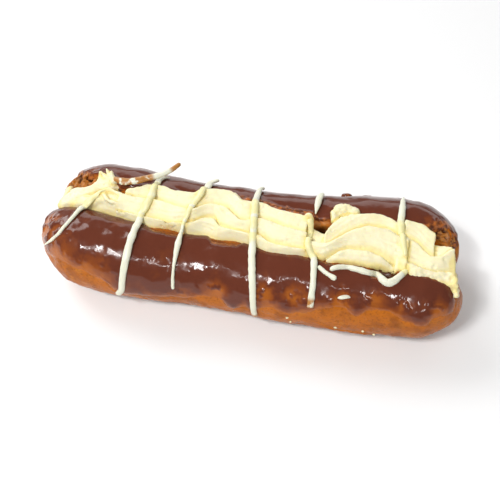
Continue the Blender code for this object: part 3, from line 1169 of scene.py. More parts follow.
@dataclass(frozen=True)
class Icing:
    """A sheet of set icing that follows one half, from beside the cream down to its drips."""

    name: str
    node: str
    half: Half
    first_angle: float
    last_angle: float
    drip: Line  # height of the lower edge along the outer side
    inner: Line  # y of the edge beside the cream
    inner_side: int  # 1 where the icing lies below that y, -1 where it lies above it
    right_edge: Line  # (height, x) of the edge at the right tip
    thin_spots: tuple[Spot, ...] = ()
    crumples: tuple[Spot, ...] = ()
    thickness: float = 0.85
    under: float = 1.6  # how deep in the crust its underside lies
    edge_round: float = 1.2
    drip_fade: Line = ((-90, 6.0), (90, 6.0))  # how far up the drips' thinning reaches
    lips: Line = ((-90, 0.22), (90, 0.22))  # how high the edge beside the cream is rolled
    torn: Line = ((-90, 0.0), (90, 0.0))  # how wide a band of that edge is torn
    inner_fade: float = 0.0  # how much thinner that edge runs out
    drip_edge: float = 0.16  # share of the thickness left where the drips end
    spot_loss: float = 0.92  # share of it that a full thin spot takes away
    calm: float = 1.0  # how much of its own ripples and the crust's knobs it shows
    knobs_shown: float = 0.22
    knobs_filled: float = 0.6
    dive: float = 1.5  # how far it goes under just past its edge
    drip_dip: float = 0.12
    step: float = 0.42
    shift: float = 0.0
    edge_waves: Grain = Grain(0.55, 3.2, 3, 70.0)
    torn_waves: Grain = Grain(0.30, 1.1, 2, 75.0)
    torn_line: Grain = Grain(0.7, 1.7, 3, 55.0)
    torn_crags: Grain = Grain(0.36, 2.1, 3, 125.0)
    body_swells: Grain = Grain(0.20, 8.0, 3, 80.0)
    thin_edges: Grain = Grain(1.0, 3.4, 3, 90.0)
    fine_ripple: Grain = Grain(0.02, 2.6, 2, 100.0)
    broad_ripple: Grain = Grain(0.10, 7.5, 2, 110.0)
    crumple_ripple: Grain = Grain(0.13, 3.0, 2, 115.0)

    def margins(self, base: Array, out: Array) -> tuple[Array, Array]:
        """How far inside its edges each place is.

        Args:
            base: the places on the half's skin.
            out: the way out of the skin there.

        Returns:
            The millimetres above the drips, and inside the other edges.
        """
        x, y, z = base[..., 0], base[..., 1], base[..., 2]
        upright = np.sqrt(np.maximum(1.0 - out[..., 2] ** 2, 0.0))
        above = (z - smooth(self.drip, x)) / np.maximum(upright, 0.4)
        beside = (smooth(self.inner, x) - y) * self.inner_side
        outer_side = (y - self.half.axis(x)[0]) * self.inner_side < 0
        wobble = self.edge_waves.at(base, self.shift)
        wobble = wobble + self.torn_waves.at(base) * (smooth(self.torn, x) > 0.3)
        drips = np.where(outer_side, above, 30.0) + wobble
        return drips, np.minimum(beside, smooth(self.right_edge, z) - x) + wobble

    @staticmethod
    def felt(spots: tuple[Spot, ...], x: Array, angle: Array) -> Array:
        """How much of the spots is felt at each place.

        Args:
            spots: the spots, a little longer than they are wide.
            x: the places' x.
            angle: their angles in radians.

        Returns:
            The strongest spot's amount there.
        """
        total = np.zeros_like(x)
        for spot in spots:
            around = (np.radians(spot.degrees) - angle) * GIRTH
            away = ((x - spot.x) / spot.reach) ** 2 + (around / (0.75 * spot.reach)) ** 2
            total = np.maximum(total, spot.amount * np.exp(-away))
        return total

    def tearing(self, base: Array, edges: Array) -> Array:
        """How torn the icing is at places that far inside its edges, from 0 to 1."""
        width = smooth(self.torn, base[..., 0])
        return ramp(width - edges + self.torn_line.at(base), -0.3, 0.5) * ramp(width, 0.2, 0.8)

    def fullness(self, base: Array, thin: Array, drips: Array, edges: Array) -> Array:
        """How thick the icing lies, before its edges are rounded.

        Args:
            base: the places on the half's skin.
            thin: how much it ran thin there.
            drips: how far above the drips they are.
            edges: how far inside the other edges.

        Returns:
            The thickness at each place.
        """
        x = base[..., 0]
        bead = smooth(self.lips, x) * hump(edges - 1.5, 1.2)
        spread = ramp((drips + 0.5) / smooth(self.drip_fade, x), 0.0, 1.0)
        spread = self.drip_edge + (1.0 - self.drip_edge) * spread
        spread *= 1.0 - self.inner_fade * (1.0 - ramp(edges, 0.0, 3.5))
        uneven = self.body_swells.at(base, self.shift)
        return (self.thickness + uneven + bead) * (1.0 - self.spot_loss * thin) * spread

    def build(self) -> bpy.types.Object:
        """Makes the piece.

        Returns:
            The piece, in the scene.
        """
        rows = int(math.radians(self.last_angle - self.first_angle) * GIRTH / self.step)
        angles = np.radians(np.linspace(self.first_angle, self.last_angle, rows))
        x, angle = np.meshgrid(self.half.stations(0.05, self.step), angles, indexing="ij")
        base = self.half.wrap(x, angle)
        out = self.half.outward(base.reshape(-1, 3)).reshape(base.shape)
        drips, edges = self.margins(base, out)
        cover = np.minimum(drips, edges)
        rounded = np.sqrt(1.0 - np.clip(1.0 - cover / self.edge_round, 0.0, 1.0) ** 2)
        torn = self.tearing(base, edges)
        thin = self.felt(self.thin_spots, x, angle) * ramp(self.thin_edges.at(base), -0.7, 0.2)
        ripple = self.fine_ripple.at(base, self.shift) + self.broad_ripple.at(base)
        ripple += self.felt(self.crumples, x, angle) * self.crumple_ripple.at(base)
        body = self.fullness(base, thin, drips, edges) + self.calm * ripple * (1.0 - thin)
        body += torn * self.torn_crags.at(base)
        swells, knobs = SWELLING.at(base), self.calm * KNOBS.at(base)
        height = swells + self.knobs_shown * knobs + body * rounded
        height -= self.dive * np.clip(-cover, 0.0, 1.0)
        height -= self.drip_dip * (1.0 - ramp(drips, -0.5, 1.5))
        lies = height - swells - self.knobs_filled * knobs
        depth = np.clip(lies / self.thickness, 0.0, 1.2)
        top, bottom = base + out * height[..., None], base - out * self.under
        points, faces = self.shell(top, bottom, cover > -1.0)
        values = {"depth": np.tile(depth.reshape(-1), 2), "torn": np.tile(torn.reshape(-1), 2)}
        return add_skin(self.name, points, faces, CHOCOLATE, values)

    @staticmethod
    def shell(top: Array, bottom: Array, keep: Array) -> tuple[Array, Array]:
        """Joins the icing's two sheets round their rim.

        Args:
            top: the upper sheet's grid of points.
            bottom: the lower sheet's.
            keep: which places of the grid the icing reaches.

        Returns:
            The points of both sheets, and the faces with four points each.
        """
        index = np.arange(keep.size).reshape(keep.shape)
        corners = (index[:-1, :-1], index[1:, :-1], index[1:, 1:], index[:-1, 1:])
        quads = np.stack(corners, -1).reshape(-1, 4)
        quads = quads[keep.reshape(-1)[quads].any(axis=1)]
        edges = np.concatenate([quads[:, [i, (i + 1) % 4]] for i in range(4)])
        low, high = np.sort(edges, axis=1).T
        _, first, seen = np.unique(low * keep.size + high, return_index=True, return_counts=True)
        rim = edges[first[seen == 1]]
        walls = np.concatenate([rim[:, ::-1], rim + keep.size], axis=1)
        points = np.concatenate([top.reshape(-1, 3), bottom.reshape(-1, 3)])
        return points, np.concatenate([quads, quads[:, ::-1] + keep.size, walls])


# ---------------------------------------------------------------- the cream

FRILL_WAVES = ((1.0, 1.9, 0.0), (0.6, 4.3, 1.0), (0.5, 7.7, 2.0))  # (height, rate, start)


@dataclass(frozen=True)
class Ribbon(Form):
    """A piped ribbon of cream: two sides, their heights, a crown between them and cut ends."""

    start: float
    end: float
    near: Line
    far: Line
    near_height: Line
    far_height: Line
    crown: float = 2.1
    crest: float = 0.80  # where across the ribbon its crown is highest
    end_slant: float = 0.0
    corner: float = 0.45
    frill: float = 0.0  # how far its two sides wave in and out

    def across(self, x: Array, y: Array) -> Array:
        """0 at the near side and 1 at the far side."""
        near, far = smooth(self.near, x), smooth(self.far, x)
        return (y - near) / np.maximum(far - near, 0.3)

    def fullness(self, x: Array, y: Array) -> Array:
        """0 along the ribbon's two sides, 1 along its crest.

        Args:
            x: the places' x.
            y: their y.

        Returns:
            The share at each place.
        """
        share = np.clip(self.across(x, y), 0.0, 1.0)
        climb = 1.0 - np.clip(1.0 - share / self.crest, 0.0, 1.0) ** 1.5
        fall = 1.0 - np.clip((share - self.crest) / (1.0 - self.crest), 0.0, 1.0) ** 2.2
        return climb * fall

    def top(self, x: Array, y: Array) -> Array:
        """The height of the ribbon's upper side.

        Args:
            x: the places' x.
            y: their y.

        Returns:
            The height at each place.
        """
        share = np.clip(self.across(x, y), 0.0, 1.0)
        low, high = smooth(self.near_height, x), smooth(self.far_height, x)
        return low + (high - low) * share + self.crown * (self.fullness(x, y) - 0.35)

    def level(self, x: Array, y: Array, z: Array) -> Array:
        """About how far outside the ribbon a point is.

        Args:
            x, y, z: the points' places.

        Returns:
            The level at each point.
        """
        waves = sum(high * np.sin(rate * x + start) for high, rate, start in FRILL_WAVES)
        near, far = smooth(self.near, x), smooth(self.far, x)
        sides = np.maximum(near - y, y - far) - self.frill * waves
        body = blend_max((z - self.top(x, y)) * 0.85, sides + 0 * z, self.corner)
        ends = np.maximum(self.start - x, x - self.end - self.end_slant * y)
        return blend_max(body, ends + 0 * z, self.corner)


@dataclass(frozen=True)
class Roll(Form):
    """A rounded rope of cream along a path of (x, y, z, radius) points."""

    path: Waypoints

    def level(self, x: Array, y: Array, z: Array) -> Array:
        """About how far outside the roll a point is.

        Args:
            x, y, z: the points' places.

        Returns:
            The level at each point.
        """
        best = np.inf
        for (ax, ay, az, ar), (bx, by, bz, br) in zip(self.path, self.path[1:]):
            dx, dy, dz = bx - ax, by - ay, bz - az
            share = ((x - ax) * dx + (y - ay) * dy + (z - az) * dz) / (dx * dx + dy * dy + dz * dz)
            share = np.clip(share, 0.0, 1.0)
            beside = (x - ax - share * dx) ** 2 + (y - ay - share * dy) ** 2
            away = np.sqrt(beside + (z - az - share * dz) ** 2)
            best = np.minimum(best, away - (ar + (br - ar) * share))
        return best


@dataclass(frozen=True)
class Lump(Form):
    """A lump of cream: an egg shape turned about the upright, boxier where power is higher."""

    centre: Triple
    radii: Triple
    turn: float = 0.0
    power: float = 2.0
    lean: float = 0.0  # how much its top face rises along its own length

    def level(self, x: Array, y: Array, z: Array) -> Array:
        """About how far outside the lump a point is.

        Args:
            x, y, z: the points' places.

        Returns:
            The level at each point.
        """
        c, s = math.cos(math.radians(self.turn)), math.sin(math.radians(self.turn))
        dx, dy = x - self.centre[0], y - self.centre[1]
        along, across = dx * c + dy * s, dy * c - dx * s
        up = z - self.centre[2] - self.lean * along
        rx, ry, rz = self.radii
        p = self.power
        away = np.abs(along / rx) ** p + np.abs(across / ry) ** p + np.abs(up / rz) ** p
        return (away ** (1.0 / p) - 1.0) * min(self.radii)


# The (x, y) lines where one ribbon meets the next.
LOW_GROOVE = ((-52, -3.4), (-40, -4.6), (-29, -6.0), (-25, -5.6), (-21, -3.9), (-17, -0.9),
              (-14, -0.7), (-11, -4.0), (-4, -5.4), (5, -6.1), (10, -8.6), (15, -9.4), (24, -9.6))
HIGH_GROOVE = ((-52, 3.0), (-39, 3.7), (-33, 2.6), (-26, 0.6), (-22, 0.9), (-19, 3.1), (-15, 4.5),
               (-11, 4.6), (-7, 1.6), (-3, -1.4), (0, -1.0), (4, 1.1), (9, 0.5), (14, -0.9),
               (24, -2.4))
LOW_FOLD = ((23, -11.2), (29, -11.9), (34, -9.4), (40, -7.0), (47, -7.0), (53, -8.6), (57, -10.0),
            (61, -13.2))
HIGH_FOLD = ((23, -5.4), (31, -6.1), (36, -1.6), (41, 2.6), (46, 4.9), (52, 4.8), (59, 2.4))
END_FOLD = ((58, 2.4), (64, 0.4), (67, -2.9), (70, -5.0), (73, -4.7), (76, -1.4), (79, 0.8))
# A ribbon is given by its two ends, two sides, and the heights along those sides.
RIBBONS = {
    "bed": Ribbon(
        -77.0, 76.5,
        ((-78, -0.6), (-62, -1.6), (-46, -5.0), (-28, -6.4), (-5, -7.2), (12, -10.5), (44, -9.5),
         (60, -10.5), (78, -11.5)),
        ((-78, 3.0), (-70, 6.0), (-64, 12.0), (-57, 12.4), (-50, 11.0), (-46, 9.6), (-27, 8.2),
         (-12, 11.0), (2, 7.5), (22, 3.4), (30, 0.5), (36, 9.0), (60, 7.5), (70, 4.0), (78, -2.0)),
        ((-80, 26.5), (-40, 28.0), (80, 28.6)),
        ((-80, 26.0), (-60, 28.2), (-40, 29.4), (60, 30.6), (80, 29.0)), crown=1.0, crest=0.5,
    ),
    "left_near": Ribbon(
        -53.0, 23.4,
        ((-52, -4.4), (-45, -6.0), (-36, -7.4), (-31, -6.8), (-23, -8.3), (-16, -7.8), (-11, -9.1),
         (-5, -8.4), (2, -9.8), (11, -12.4), (17, -12.4), (24, -11.6)),
        LOW_GROOVE, ((-52, 28.0), (-40, 28.2), (24, 28.4)),
        ((-52, 29.8), (-30, 30.8), (-15, 31.4), (24, 30.8)), crown=2.6, crest=0.70, frill=0.10,
    ),
    "left_middle": Ribbon(
        -53.0, 23.0, LOW_GROOVE, HIGH_GROOVE, ((-52, 30.0), (-30, 30.8), (-15, 31.4), (24, 31.0)),
        ((-52, 31.8), (-15, 32.8), (24, 32.2)), crown=3.1,
    ),
    "left_far": Ribbon(
        -51.2, 22.4, HIGH_GROOVE,
        ((-52, 6.0), (-47, 8.2), (-43, 10.8), (-38, 11.3), (-31, 9.1), (-24, 9.3), (-21, 11.7),
         (-14, 12.9), (-8, 12.4), (-4, 8.8), (3, 8.9), (12, 6.2), (19, 6.1), (24, 4.2)),
        ((-52, 32.0), (-15, 32.8), (24, 32.2)), ((-52, 32.4), (-15, 33.8), (24, 33.2)), crown=2.4,
        crest=0.76, corner=0.3, frill=0.14,
    ),
    "shoulder": Ribbon(
        -67.0, -37.0, ((-67, -1.9), (-60, -2.5), (-52, -4.2), (-46, -5.8), (-38, -7.0)),
        ((-67, 1.0), (-60, 2.6), (-57, 0.6), (-53, -0.6), (-50, 0.4), (-43, 2.8), (-36, 3.4)),
        ((-67, 27.0), (-38, 28.6)), ((-67, 30.6), (-58, 32.6), (-38, 32.4)), crown=0.9, crest=0.7,
        corner=0.9,
    ),
    "right_near": Ribbon(
        31.5, 56.8,
        ((31, -12.6), (34, -12.3), (38, -11.8), (43, -11.7), (47, -11.9), (51, -11.3), (55, -11.5),
         (57, -12.0)),
        LOW_FOLD, ((31, 28.0), (35, 29.8), (44, 30.4), (51, 30.4), (57, 28.2)),
        ((31, 28.2), (37, 31.6), (45, 32.2), (51, 31.6), (57, 28.4)), crown=1.7, crest=0.7,
        frill=0.12,
    ),
    "right_middle": Ribbon(
        23.2, 61.0, LOW_FOLD, HIGH_FOLD, ((23, 30.2), (45, 32.4), (61, 31.2)),
        ((23, 31.2), (45, 33.6), (61, 33.0)), crown=3.1, crest=0.74,
    ),
    "right_far": Ribbon(
        29.6, 57.6, HIGH_FOLD,
        ((29, -3.0), (31, 3.0), (34, 7.6), (38, 9.6), (43, 10.0), (49, 10.9), (53, 9.8), (58, 7.4)),
        ((29, 31.4), (45, 33.6), (58, 33.2)), ((29, 32.0), (45, 34.0), (58, 33.6)), crown=2.4,
        crest=0.72, corner=0.3,
    ),
    "slab": Ribbon(
        59.0, 70.7, END_FOLD, ((59, 9.7), (65, 9.2), (71, 5.6)), ((58, 33.0), (71, 32.0)),
        ((58, 34.6), (71, 33.8)), crown=0.35, corner=0.25,
    ),
    "end_middle": Ribbon(
        58.5, 77.8, ((58, -8.6), (63, -10.4), (70, -11.6), (78, -10.4)), END_FOLD,
        ((58, 31.0), (78, 29.8)), ((58, 33.0), (70, 32.2), (78, 32.9)), crown=1.9, crest=0.86,
        end_slant=-0.12, corner=0.3,
    ),
    "end_step": Ribbon(
        70.9, 77.4, END_FOLD, ((70, 1.6), (78, 1.3)), ((70, 31.0), (78, 31.8)),
        ((70, 31.4), (78, 32.2)), crown=0.2, corner=0.25,
    ),
    "skirt": Ribbon(
        57.0, 79.0, ((57, -12.4), (60, -11.8), (64, -15.0), (70, -13.0), (75, -13.6), (80, -13.6)),
        ((57, -7.0), (63, -9.0), (70, -10.4), (80, -9.0)), ((57, 29.2), (80, 28.2)),
        ((57, 31.6), (80, 30.2)), crown=0.8, frill=0.22,
    ),
}
ROLLS = {
    "lobe_low": Roll(
        ((-60.4, 3.6, 31.8, 0.8), (-58.9, 2.0, 32.2, 0.8), (-57.4, 0.2, 32.2, 0.8),
         (-55.0, -1.0, 31.9, 0.8), (-51.4, 0.4, 31.9, 0.8), (-46.0, 1.4, 32.2, 0.7)),
    ),
    "lobe_high": Roll(
        ((-60.4, 4.0, 32.0, 0.9), (-58.0, 5.1, 32.6, 1.1), (-55.0, 4.5, 32.6, 1.1),
         (-52.4, 3.1, 32.4, 1.0), (-48.6, 2.9, 32.2, 0.8)),
    ),
    "prong_tall": Roll(
        ((-57.6, 10.2, 32.4, 1.5), (-59.8, 11.8, 34.2, 1.0), (-61.2, 12.8, 36.0, 0.45)),
    ),
    "prong_low": Roll(
        ((-59.8, 10.8, 32.0, 1.3), (-62.0, 11.6, 33.4, 0.9), (-63.2, 12.0, 34.3, 0.45)),
    ),
    "prong_short": Roll(
        ((-57.4, 10.0, 32.6, 1.2), (-58.6, 11.6, 35.0, 0.6), (-58.9, 12.0, 35.9, 0.35)),
    ),
}
LUMPS = {
    "smear": Lump((-69.0, 5.6, 26.8), (11.6, 4.3, 4.2), 37.0, 2.8, 0.27),
    "smear_foot": Lump((-73.5, 1.0, 25.4), (5.2, 2.6, 3.0), 12.0, 2.6, 0.10),
    "smear_rim": Lump((-77.4, 6.2, 24.0), (1.7, 5.0, 2.4), 0.0, 2.4),
    "smear_side": Lump((-65.0, 0.8, 27.6), (7.5, 2.8, 3.6), 14.0, 2.4, 0.16),
    "flank": Lump((-58.8, 8.6, 28.2), (5.4, 4.0, 3.8), -16.0, 2.4, -0.30),
    "lobe": Lump((-55.6, 2.3, 30.4), (5.0, 2.4, 1.8), -8.0, 2.4),
    "brow": Lump((-65.0, 12.6, 30.4), (3.2, 1.4, 1.7), 18.0, 2.4, 0.12),
    "brow_bit": Lump((-66.4, 13.4, 31.2), (1.0, 0.9, 1.1), 40.0, 3.0),
    "brow_chip": Lump((-64.2, 13.2, 32.6), (0.8, 0.7, 1.0), 10.0, 3.0),
    "bit_1": Lump((-72.2, 8.0, 27.4), (1.5, 1.1, 1.2), 30.0, 2.0),
    "bit_2": Lump((-70.6, 9.4, 28.4), (0.9, 0.9, 0.9), 0.0, 2.0),
    "curd_1": Lump((35.0, 11.0, 32.4), (4.0, 2.6, 3.0), 12.0, 2.4),
    "curd_2": Lump((31.6, 8.0, 31.8), (2.5, 2.2, 2.6), 50.0, 2.2),
    "curd_3": Lump((39.0, 10.8, 32.6), (2.6, 2.2, 2.5), -20.0, 2.2),
    "curd_4": Lump((29.4, 6.4, 30.6), (1.7, 1.4, 1.4), 20.0, 2.0),
    "knot": Lump((22.4, 4.4, 32.9), (1.9, 2.4, 1.5), 20.0, 2.2),
    "tail_1": Lump((79.0, -11.4, 26.6), (1.6, 3.4, 3.4), 0.0, 2.4),
    "tail_2": Lump((80.2, -15.0, 25.4), (1.3, 2.0, 1.7), 0.0, 2.2),
    "tail_3": Lump((78.0, -5.5, 26.0), (1.5, 3.4, 5.0), 0.0, 2.6),
}
# Where the cream crumbled: x, y, how far round and how deep.
CRUMBLY = ((35.0, 11.0, 5.5, 0.55), (79.5, -13.0, 5.0, 0.6), (70.0, -12.6, 5.0, 0.45),
           (63.0, -13.0, 4.0, 0.45), (-74.0, 3.0, 7.0, 0.35), (-66.0, 12.0, 4.0, 0.45),
           (-69.0, 5.0, 8.0, 0.20), (-71.5, 8.4, 2.5, 0.5))


@dataclass(frozen=True)
class CreamForm(Form):
    """All of the cream, resting in the slit and over its lips."""

    floor: float = 8.6
    blend: float = 0.6
    bite: float = 0.8  # how far it sinks into the crust, out of sight
    pit_edge: float = 0.8
    pits: tuple[Hollow, ...] = (
        Hollow((27.4, 7.0, 31.0), (3.8, 3.0, 5.2)),
        Hollow((-53.8, 6.6, 32.4), (3.2, 2.4, 4.2)),
        Hollow((-71.0, 10.8, 33.0), (6.2, 5.2, 6.6)),
    )

    def free(self, x: Array, y: Array, z: Array) -> Array:
        """The level of the cream before the choux and the pits shape it.

        Args:
            x, y, z: the points' places.

        Returns:
            The level at each point.
        """
        first, *others = *RIBBONS.values(), *ROLLS.values(), *LUMPS.values()
        total = first.level(x, y, z)
        for part in others:
            total = blend_min(total, part.level(x, y, z), self.blend)
        return total

    def level(self, x: Array, y: Array, z: Array) -> Array:
        """About how far outside the cream a point is.

        Args:
            x, y, z: the points' places.

        Returns:
            The level at each point.
        """
        total = self.free(x, y, z)
        for pit in self.pits:
            total = blend_max(total, -pit.level(x, y, z), self.pit_edge)
        total = np.maximum(total, -CHOUX.level(x, y, z) - self.bite)
        return np.maximum(total, self.floor - z)


CREAM = CreamForm()


@dataclass(frozen=True)
class CreamPiece:
    """The piped cream as it is seen, with the marks that the nozzle left along its ribbons."""

    step: float = 0.45
    before: Band = (4.0, 7.0)  # how far beyond the part's cream its surface is looked for
    beyond: Triple = (5.0, 6.0, 2.5)
    lowest: float = 7.5
    fold_shade_reach: float = 1.3  # how far off the surface cream is felt in a fold, for the painted fold shade
    closed: Band = (0.10, 0.75)  # painted fold shade: how much is felt, from where a fold begins to where it's deep
    # painted fold shade down in the grooves between ribbons
    hollow: Band = (0.32, 1.0)
    whole_above: Band = (10.0, 16.0)  # heights between which its relief sets in
    streak_width: float = 0.95
    streaks: Grain = Grain(0.21, 1.0, 2, 170.0)
    lumpy: Grain = Grain(0.22, 5.0, 3, 130.0)
    curdled: Grain = Grain(0.09, 1.5, 2, 150.0)
    crumbled: Grain = Grain(1.0, 1.9, 3, 190.0)
    hole_spacing: float = 3.4
    hole_depth: float = 0.35
    hole_shift: float = 31.0
    hole_reach: Band = (-0.20, -0.06)

    def build(self) -> bpy.types.Object:
        """Makes the piece.

        Returns:
            The piece, in the scene.
        """
        low = np.array((*(CREAM_BOX[0][:2] - self.before), self.lowest))
        points, faces = CREAM.meshed(low, CREAM_BOX[1] + self.beyond, self.step)
        points = CREAM.pulled(points, 1, 0.3)
        out = CREAM.outward(points)
        felt = self.fold_shade_reach - CREAM.free(*(points + out * self.fold_shade_reach).T)
        across, hollow = self.along_ribbons(points)
        # painted shade in the folds and grooves
        fold_shade = np.maximum(ramp(felt, *self.closed), ramp(hollow, *self.hollow))
        relief = self.lumpy.at(points) + self.curdled.at(points) + self.streaks.at(across)
        relief += self.crumbling(points)
        holes = pores(points + self.hole_shift, self.hole_spacing)
        relief -= self.hole_depth * ramp(holes, *self.hole_reach)
        relief *= ramp(points[:, 2], *self.whole_above)
        made = points + out * relief[:, None]
        return add_skin("piped_cream", made, faces, CREAM_PAINT, {"fold_shade": fold_shade})

    def crumbling(self, points: Array) -> Array:
        """Rough broken texture where the cream crumbled.

        Args:
            points: where it is read.

        Returns:
            Its height at each point.
        """
        total = np.zeros(len(points))
        for x, y, reach, depth in CRUMBLY:
            away = np.hypot(points[:, 0] - x, points[:, 1] - y) / reach
            total = np.maximum(total, depth * ramp(-away, -1.15, -0.6))
        near = total > 0.01
        total[~near] = 0.0
        total[near] *= self.crumbled.at(points[near])
        return total

    def along_ribbons(self, points: Array) -> tuple[Array, Array]:
        """Where each point lies on the ribbon that is nearest to it.

        Args:
            points: the points.

        Returns:
            Their places in a pattern drawn out along the ribbons, and how hollow they lie: 0 on
            a crest, 1 down in the groove beside it.
        """
        ribbons = [ribbon for name, ribbon in RIBBONS.items() if name != "bed"]
        levels = np.stack([ribbon.level(*points.T) for ribbon in ribbons])
        owner = levels.argmin(axis=0)
        across, hollow = np.zeros(len(points)), np.zeros(len(points))
        for i, ribbon in enumerate(ribbons):
            mine = owner == i
            x, y = points[mine, 0], points[mine, 1]
            across[mine] = ribbon.across(x, y) * (smooth(ribbon.far, x) - smooth(ribbon.near, x))
            hollow[mine] = 1.0 - ribbon.fullness(x, y)
        x, _, z = points.T
        place = np.stack([x / 16.0, across / self.streak_width, owner * 9.0 + z / 40.0], axis=1)
        return place, hollow * ramp(-levels.min(axis=0), -1.6, -0.4)


# ---------------------------------------------------------------- the white icing

HEART_HEIGHT = 12.0  # height of the line that the strands are laid around
SKIN_REACH = 20.0  # about how far the skin is from it
FAR_OUT = 60.0  # surely outside the skin


@dataclass(frozen=True)
class Strand:
    """A strand of white icing, laid round the finger or standing free of it."""

    name: str
    node: str
    waypoints: Waypoints  # (x, degrees round the heart line, width), or (x, y, z, width) if free
    first: Tip = Tip.ROUND
    last: Tip = Tip.ROUND
    rise_first: float = 0.0  # how far its first end stands off the skin
    toffee_first: float = 0.0  # length that is stained, from each end
    toffee_last: float = 0.0
    rise_length: float = 7.0
    height: float = 1.7
    rest: float = 0.18  # how high its middle line lies on icing, as a share of its height
    rest_drop: float = 0.26  # how much lower it lies on cream
    held_steps: int = 3  # how many steps to either side hold it up
    pointed_loss: float = 0.86  # how much of its width a pointed end loses
    sides: int = 14
    step: float = 0.4
    seed: float = 0.0
    wider: Grain = Grain(0.16, 1.0, 2, 7.0)
    higher: Grain = Grain(0.14, 1.0, 2, 19.0)
    uneven: Grain = Grain(0.09, 1.5, 3, 3.0)

    @property
    def free(self) -> bool:
        """Whether the strand has its own path and isn't laid on the finger."""
        return len(self.waypoints[0]) == 4

    def course(self) -> tuple[Array, ...]:
        """Follows the waypoints evenly.

        Returns:
            Each of the waypoints' values along the strand.
        """
        count = len(self.waypoints)
        shares = np.linspace(0, count - 1, 60 * count)
        columns = [smooth(tuple(enumerate(column)), shares) for column in zip(*self.waypoints)]
        if self.free:
            track = np.stack(columns[:3], axis=1)
        else:
            track = np.stack([columns[0], np.radians(columns[1]) * SKIN_REACH], axis=1)
        length = lengths(track)
        even = np.linspace(0.0, length[-1], max(8, int(length[-1] / self.step)))
        return tuple(np.interp(even, length, column) for column in columns)

    def path(self, trees: list[BVHTree]) -> tuple[Array, Array, Array]:
        """Finds where the strand runs.

        Args:
            trees: the skins that it may lie on.

        Returns:
            The points of its middle line, the way out and the width at each.
        """
        if self.free:
            x, y, z, width = self.course()
            return np.stack([x, y, z], axis=1), np.tile((0.0, -0.3, 1.0), (len(x), 1)), width
        x, degrees, width = self.course()
        turn = np.radians(degrees)
        out = np.stack([0 * x, np.cos(turn), np.sin(turn)], axis=1)
        heart = np.stack([x, middle(x), 0 * x + HEART_HEIGHT], axis=1)
        reach = np.array([self.reach(trees, h, o) for h, o in zip(heart, out)])
        near = self.held_steps
        held = np.array([reach[max(i - near, 0) : i + near + 1].max() for i in range(len(reach))])
        weights = np.hanning(11)[1:-1]
        padded = np.pad(held, len(weights) // 2, mode="edge")
        held = np.convolve(padded, weights / weights.sum(), mode="valid")
        away = np.arange(len(held)) * self.step
        rest = self.rest - self.rest_drop * self.over_cream(heart + out * held[:, None])
        raised = self.rise_first * np.clip(1.0 - away / self.rise_length, 0.0, 1.0) ** 1.6
        return heart + out * (held + rest * self.height + raised)[:, None], out, width

    @staticmethod
    def reach(trees: list[BVHTree], heart: Array, out: Array) -> float:
        """How far the outermost skin is from the heart line.

        Args:
            trees: the skins.
            heart: a point of the heart line.
            out: the direction that is measured.

        Returns:
            The distance.
        """
        start, way = Vector((heart + out * FAR_OUT) * MM), Vector(-out)
        best = 0.0
        for tree in trees:
            hit = tree.ray_cast(start, way)
            if hit[0] is not None:
                best = max(best, FAR_OUT - hit[3] / MM)
        return best

    def slimming(self, length: Array) -> Array:
        """How much of its full width the strand has.

        Args:
            length: how far along the strand it is read.

        Returns:
            The share at each place.
        """
        shape = np.ones(len(length))
        for tip, away in ((self.first, length), (self.last, length[-1] - length)):
            q = np.clip(1.0 - away / tip.value, 0.0, 1.0)
            if tip is Tip.POINTED:
                shape = np.minimum(shape, 1.0 - self.pointed_loss * q**1.4)
                end = np.clip(1.0 - away / 0.4, 0.0, 1.0)
                shape = shape * np.sqrt(np.maximum(1.0 - end**2, 0.0004))
            else:
                shape = np.minimum(shape, np.sqrt(np.maximum(1.0 - q**2, 0.0004)))
        return shape

    def stained(self, length: Array) -> Array:
        """How toffee-brown the strand is, that far along it."""
        ends = ((self.toffee_first, length), (self.toffee_last, length[-1] - length))
        return np.max([ramp(far - away, -1.0, 1.0) * (far > 0) for far, away in ends], axis=0)

    def build(self, trees: list[BVHTree]) -> tuple[bpy.types.Object, Array]:
        """Makes the piece.

        Args:
            trees: the skins that the strand may lie on.

        Returns:
            The piece and the points of its middle line.
        """
        path, out, width = self.path(trees)
        along = turned(np.gradient(path, axis=0))
        side = turned(np.cross(along, out))
        up = np.cross(side, along)
        length = lengths(path)
        slim = self.slimming(length)
        where = np.stack([length / 3.2, 0 * length + self.seed, 0 * length], axis=1)
        half_width = width / 2 * (1.0 + self.wider.at(where)) * slim
        flatter = np.sqrt(width / 2.7) * slim
        half_height = self.height / 2 * (1.0 + self.higher.at(where)) * flatter
        angles = np.linspace(0, 2 * math.pi, self.sides, endpoint=False)
        rings = path[:, None] + side[:, None] * (half_width[:, None] * np.cos(angles))[..., None]
        rings = rings + up[:, None] * (half_height[:, None] * np.sin(angles))[..., None]
        rough = self.uneven.at(rings, self.seed) * slim[:, None]
        rings += turned(rings - path[:, None]) * rough[..., None]
        ends = np.arange(self.sides)
        faces = tube_faces(len(path), self.sides)
        faces += [ends[::-1].tolist(), (ends + (len(path) - 1) * self.sides).tolist()]
        values = {
            "toffee": np.repeat(self.stained(length), self.sides),
            "creamy": np.repeat(self.over_cream(path), self.sides),
        }
        return add_piece(self.name, rings.reshape(-1, 3), faces, WHITE_PAINT, values), path

    @staticmethod
    def over_cream(path: Array) -> Array:
        """1 where a path lies on the cream, 0 on the icing."""
        return ramp(-CREAM.free(*path.T), -2.2, -0.4)


# ---------------------------------------------------------------- the whole eclair

